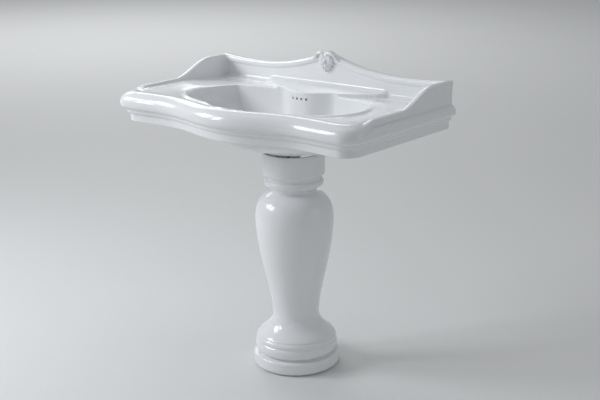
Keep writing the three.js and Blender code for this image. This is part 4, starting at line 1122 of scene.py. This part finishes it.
@dataclass
class Pedestal:
    """The pedestal: a hollow turned column with an open channel at its back."""

    torus_r: float = 130.0
    waist: tuple = (72.5, 169.0)
    belly: tuple = (121.7, 478.0)
    neck: tuple = (70.0, 566.0)
    collar_r: float = 96.5
    wall: float = 12.0
    slot_half: float = 52.0
    columns: int = 193

    def __post_init__(self) -> None:
        """Takes the height, the plinth's radius and the axis from the frame."""
        low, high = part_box("pedestal")
        self.top = high.z / MM
        self.plinth_r = (high.x - low.x) / MM / 2.0
        self.axis_y = low.y / MM + self.plinth_r

    def outer(self) -> list:
        """The outer profile from the floor to the top, as (radius, height) points."""
        groove, crown = self.torus_r - 13.0, self.torus_r
        profile = [(self.plinth_r - 13.0, 0.0), (self.plinth_r - 10.6, 0.3)]
        profile += arc((self.plinth_r - 14.0, 14.4), 14.0, -75, 0, 8)
        profile += [(self.plinth_r, 24.0), (self.plinth_r, 35.5)]
        profile += arc((self.plinth_r - 6.0, 37.0), 6.0, 0, 82, 6)
        profile += [(groove + 5.6, 43.5), (groove + 1.6, 44.3), (groove, 46.2), (groove + 0.9, 48.4)]
        profile += bezier((groove + 0.9, 48.4), (groove + 8.0, 49.6), (crown, 56.0), (crown, 66.0), 9)
        profile += bezier((crown, 66.0), (crown, 74.0), (crown - 1.6, 79.0), (crown - 4.8, 81.8), 7)
        profile += [(crown - 5.6, 82.8), (crown - 5.4, 84.0)]
        profile += bezier((crown - 5.4, 84.0), (crown - 2.4, 86.6), (crown - 2.8, 95.2),
                          (crown - 7.4, 98.6), 8)
        profile += [(crown - 9.0, 99.5), (crown - 9.6, 101.0), (crown - 9.4, 102.8)]
        profile += bezier((crown - 9.4, 102.8), (crown - 18.0, 116.0), (self.waist[0] + 3.5, 132.0),
                          self.waist, 18)
        profile += bezier(self.waist, (self.waist[0] + 2.6, 259.0), (self.belly[0] - 4.2, 352.0),
                          self.belly, 30)
        profile += bezier(self.belly, (self.belly[0], 521.0), (106.5, 553.0), (self.neck[0], 563.0), 20)
        profile += [(self.neck[0] - 0.6, 565.4), (self.neck[0] - 0.4, 568.4)]
        profile += bezier((self.neck[0] - 0.4, 568.4), (self.neck[0] + 2.0, 576.0), (79.0, 582.0),
                          (84.5, 583.6), 6)
        profile += bezier((84.5, 583.6), (92.0, 585.4), (94.0, 597.0), (89.0, 602.0), 9)
        profile += [(86.2, 603.6), (84.2, 605.2), (83.8, 607.6)]
        profile += bezier((83.8, 607.6), (84.6, 614.0), (89.5, 619.0), (94.0, 620.4), 6)
        profile += arc((self.collar_r - 2.6, 623.2), 2.6, -70, 0, 4)
        profile += [(self.collar_r, 640.0), (self.collar_r, 665.0)]
        profile += arc((self.collar_r - 2.5, self.top - 2.5), 2.5, 0, 90, 5)
        return profile

    def inner(self) -> list:
        """The hollow's profile from the top down to the floor."""
        hollow = self.collar_r - self.wall
        profile = [(hollow + 2.0, self.top), (hollow + 0.6, self.top - 0.6), (hollow, self.top - 2.0)]
        profile += [(hollow, 640.0), (hollow, 604.0)]
        profile += bezier((hollow, 604.0), (hollow - 6.0, 590.0), (60.0, 586.0), (58.0, 578.0), 6)
        profile += [(58.0, 562.0)]
        profile += bezier((58.0, 562.0), (60.0, 548.0), (100.0, 540.0), (107.0, 500.0), 8)
        profile += bezier((107.0, 500.0), (111.0, 470.0), (96.0, 360.0), (87.0, 319.0), 8)
        profile += bezier((87.0, 319.0), (76.0, 262.0), (60.5, 220.0), (60.5, 180.0), 8)
        profile += [(60.5, 158.0)]
        profile += bezier((60.5, 158.0), (64.0, 132.0), (98.0, 112.0), (104.0, 92.0), 7)
        profile += [(104.0, 40.0), (104.0, 2.0), (105.5, 0.4), (107.0, 0.0)]
        return profile

    def build(self) -> None:
        """Builds the column, open along its back, with the two lugs for its floor screws."""
        profile = self.outer() + self.inner()
        split = len(self.outer())
        ease = 1.4
        rings = []
        for number, (radius, height) in enumerate(profile):
            start = math.pi / 2.0 + math.asin(min(1.0, (self.slot_half + ease) / radius))
            angles = np.linspace(start, start + 2.0 * (1.5 * math.pi - start), self.columns)
            ring = np.stack([radius * np.cos(angles), radius * np.sin(angles),
                             np.full(self.columns, height)], axis=1)
            lip = radius + (-ease if number < split else ease)
            for place, sign in ((0, -1.0), (-1, 1.0)):
                reach = math.sqrt(max(lip * lip - self.slot_half**2, 0.0))
                end = np.array([[sign * self.slot_half, reach, height]])
                ring = np.vstack([end, ring]) if place == 0 else np.vstack([ring, end])
            rings.append(ring)
        rings = np.array(rings)
        rings[:, :, 1] += self.axis_y
        count = rings.shape[1]
        faces = skin(rings, across=True, around=False)
        inside = len(profile) - split
        for column, flip in ((0, True), (count - 1, False)):
            faces += self.slot_wall(split, inside, count, column, flip, profile)
        piece = make_mesh("pedestal_column", rings.reshape(-1, 3), faces, 48.0)
        outward(piece)
        settle(piece, ROOT, Finish.PEDESTAL, "pedestal")
        for side, word in ((-1.0, "left"), (1.0, "right")):
            self.lug(side, word)

    def slot_wall(self, split: int, inside: int, count: int, column: int, flip: bool, profile: list) -> list:
        """Faces of one wall of the open channel, zipped between the outer and the inner profile.

        Args:
            split: how many points the outer profile has.
            inside: how many points the inner profile has.
            count: points in each ring.
            column: which column of the rings the wall starts from.
            flip: whether the faces are turned over.
            profile: both profiles, one after the other.

        Returns:
            The faces.
        """
        total = split + inside
        low, high = 0, total - 1
        faces = []
        while low < split - 1 or high > split:
            next_low = profile[low + 1][1] if low < split - 1 else math.inf
            next_high = profile[high - 1][1] if high > split else math.inf
            if next_low <= next_high:
                face = [low, low + 1, high]
                low += 1
            else:
                face = [low, high - 1, high]
                high -= 1
            corners = [number * count + column for number in face]
            faces.append(corners[::-1] if flip else corners)
        return faces

    def lug(self, side: float, word: str) -> None:
        """A lug inside the plinth for one floor screw, with its bored hole.

        Args:
            side: -1 for the left and 1 for the right.
            word: the side's name.
        """
        x0, x1, y0, y1 = 54.0, 92.0, 38.0, 82.0
        outline = eased([(x0, y0), (x1, y0), (x1 - 4.0, y1), (x0, y1)], 8.0)
        ring = np.array([(side * x, self.axis_y + y) for x, y in outline])
        hole = np.array([side * 70.0, self.axis_y + 60.0])
        heading = np.arctan2(ring[:, 1] - hole[1], ring[:, 0] - hole[0])
        bore = hole + 6.1 * np.stack([np.cos(heading), np.sin(heading)], axis=1)
        shoulder = lerp(hole, ring, 0.96)
        levels = [(bore, 0.2), (ring, 0.2), (ring, 12.4), (shoulder, 14.0), (bore, 14.0)]
        rings = np.array([np.column_stack([plan, np.full(len(plan), z)]) for plan, z in levels])
        piece = make_mesh(f"plinth_lug_{word}", rings.reshape(-1, 3), skin(rings, across=True), 40.0)
        outward(piece)
        settle(piece, ROOT, Finish.PEDESTAL)


# ---- Stage --------------------------------------------------------------------------------------


@dataclass
class Studio:
    """A pale floor, soft lights and the camera."""

    camera_at: tuple = (2.1825, -2.5083, 1.5123)
    azimuth: float = 38.894
    pitch: float = 16.799
    roll: float = -0.58
    sensor_width: float = 36.0
    lens: float = 68.676
    shift_x: float = -0.0311667
    shift_y: float = 0.0213333

    def build(self) -> None:
        """Sets the camera, floor and lights."""
        self.camera()
        self.floor()
        self.lights()

    def camera(self) -> None:
        """The camera at the sink's front right, looking down a little."""
        data = bpy.data.cameras.new("camera")
        data.sensor_width = self.sensor_width
        data.lens = self.lens
        data.shift_x = self.shift_x
        data.shift_y = self.shift_y
        data.clip_start = 0.05
        data.clip_end = 60.0
        eye = bpy.data.objects.new("camera", data)
        bpy.context.scene.collection.objects.link(eye)
        eye.location = self.camera_at
        turn = Euler((math.radians(90.0 - self.pitch), 0.0, math.radians(self.azimuth)), "XYZ")
        tilt = Euler((0.0, 0.0, math.radians(self.roll)), "XYZ")
        eye.rotation_euler = (turn.to_matrix() @ tilt.to_matrix()).to_euler()
        bpy.context.scene.camera = eye

    def floor(self) -> None:
        """A plain pale floor."""
        side, depth = 14000.0, -0.5
        corners = np.array([(-side, -side, depth), (side, -side, depth),
                            (side, side, depth), (-side, side, depth)])
        ground = make_mesh("floor", corners, [[0, 1, 2, 3]])
        shader = Shader("pale_floor")
        cloud = shader.noise(1.2, 2.0)
        shader.put("Base Color", shader.mix(cloud, (0.73, 0.735, 0.73), (0.75, 0.755, 0.75)))
        shader.put("Roughness", 0.85)
        ground.data.materials.append(shader.material)

    def lamp(self, name: str, at: tuple, aim: tuple, size: tuple, power: float, color: tuple) -> None:
        """One rectangular soft light.

        Args:
            name: the light's name.
            at: where it stands.
            aim: what it points at.
            size: its width and height.
            power: its power in watts.
            color: its colour.
        """
        data = bpy.data.lights.new(name, "AREA")
        data.shape = "RECTANGLE"
        data.size, data.size_y = size
        data.energy = power
        data.color = color
        lamp = bpy.data.objects.new(name, data)
        bpy.context.scene.collection.objects.link(lamp)
        lamp.location = at
        lamp.rotation_euler = (Vector(aim) - Vector(at)).to_track_quat("-Z", "Y").to_euler()

    def lights(self) -> None:
        """A key softbox at the left, a broad fill over the camera and a pale surround."""
        self.lamp("key", (-2.25, -1.35, 2.0), (0.0, 0.0, 0.7), (0.75, 0.9), 31.0, (0.95, 0.97, 1.0))
        self.lamp("key_front", (-1.72, -2.05, 2.0), (0.0, 0.0, 0.7), (0.45, 0.9), 19.0, (0.95, 0.97, 1.0))
        self.lamp("side", (3.2, 0.9, 1.5), (0.0, 0.1, 0.6), (1.6, 1.6), 5.0, (1.0, 0.98, 0.96))
        self.lamp("top", (-0.3, 0.3, 3.4), (0.0, 0.0, 0.8), (2.4, 1.6), 9.0, (0.98, 0.99, 1.0))
        self.lamp("rear", (-6.2, 4.6, 4.6), (-5.2, 3.6, 0.0), (5.0, 4.0), 175.0, (0.99, 1.0, 1.0))
        world = bpy.data.worlds.new("surround")
        bpy.context.scene.world = world
        world.use_nodes = True
        background = world.node_tree.nodes["Background"]
        background.inputs["Color"].default_value = (0.93, 0.96, 1.0, 1.0)
        background.inputs["Strength"].default_value = 0.34
        bpy.context.scene.view_settings.view_transform = "Standard"


# ---- Fittings -----------------------------------------------------------------------------------


@dataclass(frozen=True)
class Fitting:
    """One turned fitting that stands for a CAD node, as an outline from its own low end."""

    node: str
    finish: Finish
    profile: tuple
    body: str = ROOT
    ease: float = 0.6
    segments: int = 72
    flutes: int = 0
    flute_depth: float = 0.0
    along_y: bool = False

    def build(self) -> None:
        """Turns the fitting on its node's own axis and dresses it."""
        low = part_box(self.node)[0]
        middle = centre_of(self.node)
        foot = (middle.x, low.y / MM, middle.z) if self.along_y else (middle.x, middle.y, low.z / MM)
        on_axis = self.profile[0][0] == 0
        outline = eased(self.profile, self.ease, closed=not on_axis)
        widest = max(radius for radius, _ in self.profile)
        near = np.array([abs(radius - widest) < 0.3 for radius, _ in outline[1:-1 if on_axis else None]])

        def wave(angles: np.ndarray, number: int) -> np.ndarray:
            """The grip's flutes, on the widest rings only."""
            held = near[number - (0 if on_axis else 1)] if self.flutes else False
            return -self.flute_depth * (0.5 - 0.5 * np.cos(angles * self.flutes)) * float(held)

        piece = turned(f"{self.node}_fine", outline, foot, self.segments, wave, self.along_y)
        settle(piece, self.body, self.finish, self.node)


def washer(inner: float, outer: float, thick: float) -> tuple:
    """The outline of a plain ring."""
    return ((inner, 0.0), (outer, 0.0), (outer, thick), (inner, thick))


FITTINGS = (
    Fitting("plug_cap", Finish.CHROME, ((0, 0), (30.0, 0), (31.0, 1.2), (29.4, 2.8), (24.0, 3.8), (16.0, 4.5),
                                        (8.0, 4.9), (0, 5.0)), PLUG, 1.0, 96),
    Fitting("plug_seal", Finish.RUBBER, ((15.5, 0), (21.4, 0), (22.0, 0.75), (21.4, 1.5), (15.5, 1.5)),
            PLUG, 0.4),
    Fitting("flange_seal", Finish.RUBBER, washer(21.2, 31.0, 2.0)),
    Fitting("tapered_gasket", Finish.RUBBER, ((21.2, 0), (34.0, 0), (34.0, 3.0), (25.0, 9.0), (21.2, 9.0))),
    Fitting("slip_washer", Finish.PLASTIC, washer(21.2, 33.0, 2.2)),
    Fitting("coupling_nut", Finish.CHROME, ((16.5, 0), (25.0, 0), (27.0, 2.6), (27.0, 26.2), (25.4, 28.9),
                                            (21.2, 28.9), (21.2, 6.0), (16.5, 6.0)), ROOT, 0.8, 144, 24, 0.7),
    Fitting("coupling_washer", Finish.RUBBER, washer(16.0, 20.6, 2.3)),
    Fitting("dip_tube", Finish.CHROME, ((14.0, 0), (16.0, 0), (16.0, 80.7), (20.6, 80.7), (20.6, 84.0),
                                        (14.0, 84.0))),
    Fitting("inlet_nut", Finish.CHROME, ((20.3, 0), (22.2, 0), (23.0, 1.6), (23.0, 10.9), (22.2, 12.5),
                                         (16.5, 12.5), (16.5, 9.0), (20.3, 9.0)), ROOT, 0.5, 120, 20, 0.6),
    Fitting("inlet_cone", Finish.RUBBER, ((16.3, 0), (19.7, 0), (19.0, 2.3), (16.3, 2.3)), ROOT, 0.3),
    Fitting("cup_seal", Finish.RUBBER, ((24.3, 0), (27.0, 0), (27.0, 2.4), (24.3, 2.4)), ROOT, 0.4),
)
BUSH = ((5.1, 0), (14.0, 0), (14.0, 2.5), (7.1, 2.5), (7.1, 18.8), (5.1, 18.8))
WALL_FITTINGS = tuple(
    Fitting(f"{kind}_{side}", finish, profile, ease=ease, along_y=True, segments=48)
    for kind, finish, profile, ease in (("wall_bush", Finish.PLASTIC, BUSH, 0.6),
                                        ("wall_washer", Finish.ZINC, washer(5.1, 12.0, 1.7), 0.3))
    for side in ("left", "right")
)

NODE_FINISHES = {
    Finish.CHROME: ("waste_body", "plug_cap", "coupling_nut", "dip_tube", "trap_body", "inlet_nut",
                    "outlet_nut", "trap_cup", "outlet_pipe", "wall_rose"),
    Finish.BRASS: ("back_nut", "plug_cartridge", "plug_spindle"),
    Finish.RUBBER: ("flange_seal", "tapered_gasket", "plug_seal", "coupling_washer", "inlet_cone",
                    "outlet_cone", "cup_seal"),
    Finish.PADS: ("seat_pad_1", "seat_pad_2", "seat_pad_3", "seat_pad_4"),
    Finish.PLASTIC: ("slip_washer", "wall_bush_left", "wall_bush_right", "floor_sleeve_left",
                     "floor_sleeve_right"),
    Finish.ZINC: ("plug_spring", "wall_stud_left", "wall_stud_right", "wall_washer_left",
                  "wall_washer_right", "wall_nut_left", "wall_nut_right", "floor_screw_left",
                  "floor_screw_right"),
}


def dress_nodes() -> None:
    """Gives the fittings' CAD nodes their finishes."""
    for finish, nodes in NODE_FINISHES.items():
        for node in nodes:
            finish.dress(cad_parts[node])
    LOG.info("dressed %d CAD nodes", sum(map(len, NODE_FINISHES.values())))


def main() -> None:
    """Builds every sub-assembly in order."""
    logging.basicConfig(level=logging.INFO, format="%(name)s: %(message)s")
    dress_nodes()
    for fitting in FITTINGS + WALL_FITTINGS:
        fitting.build()
    Basin().build()
    Pedestal().build()
    Studio().build()


if __name__ == "__main__":
    main()
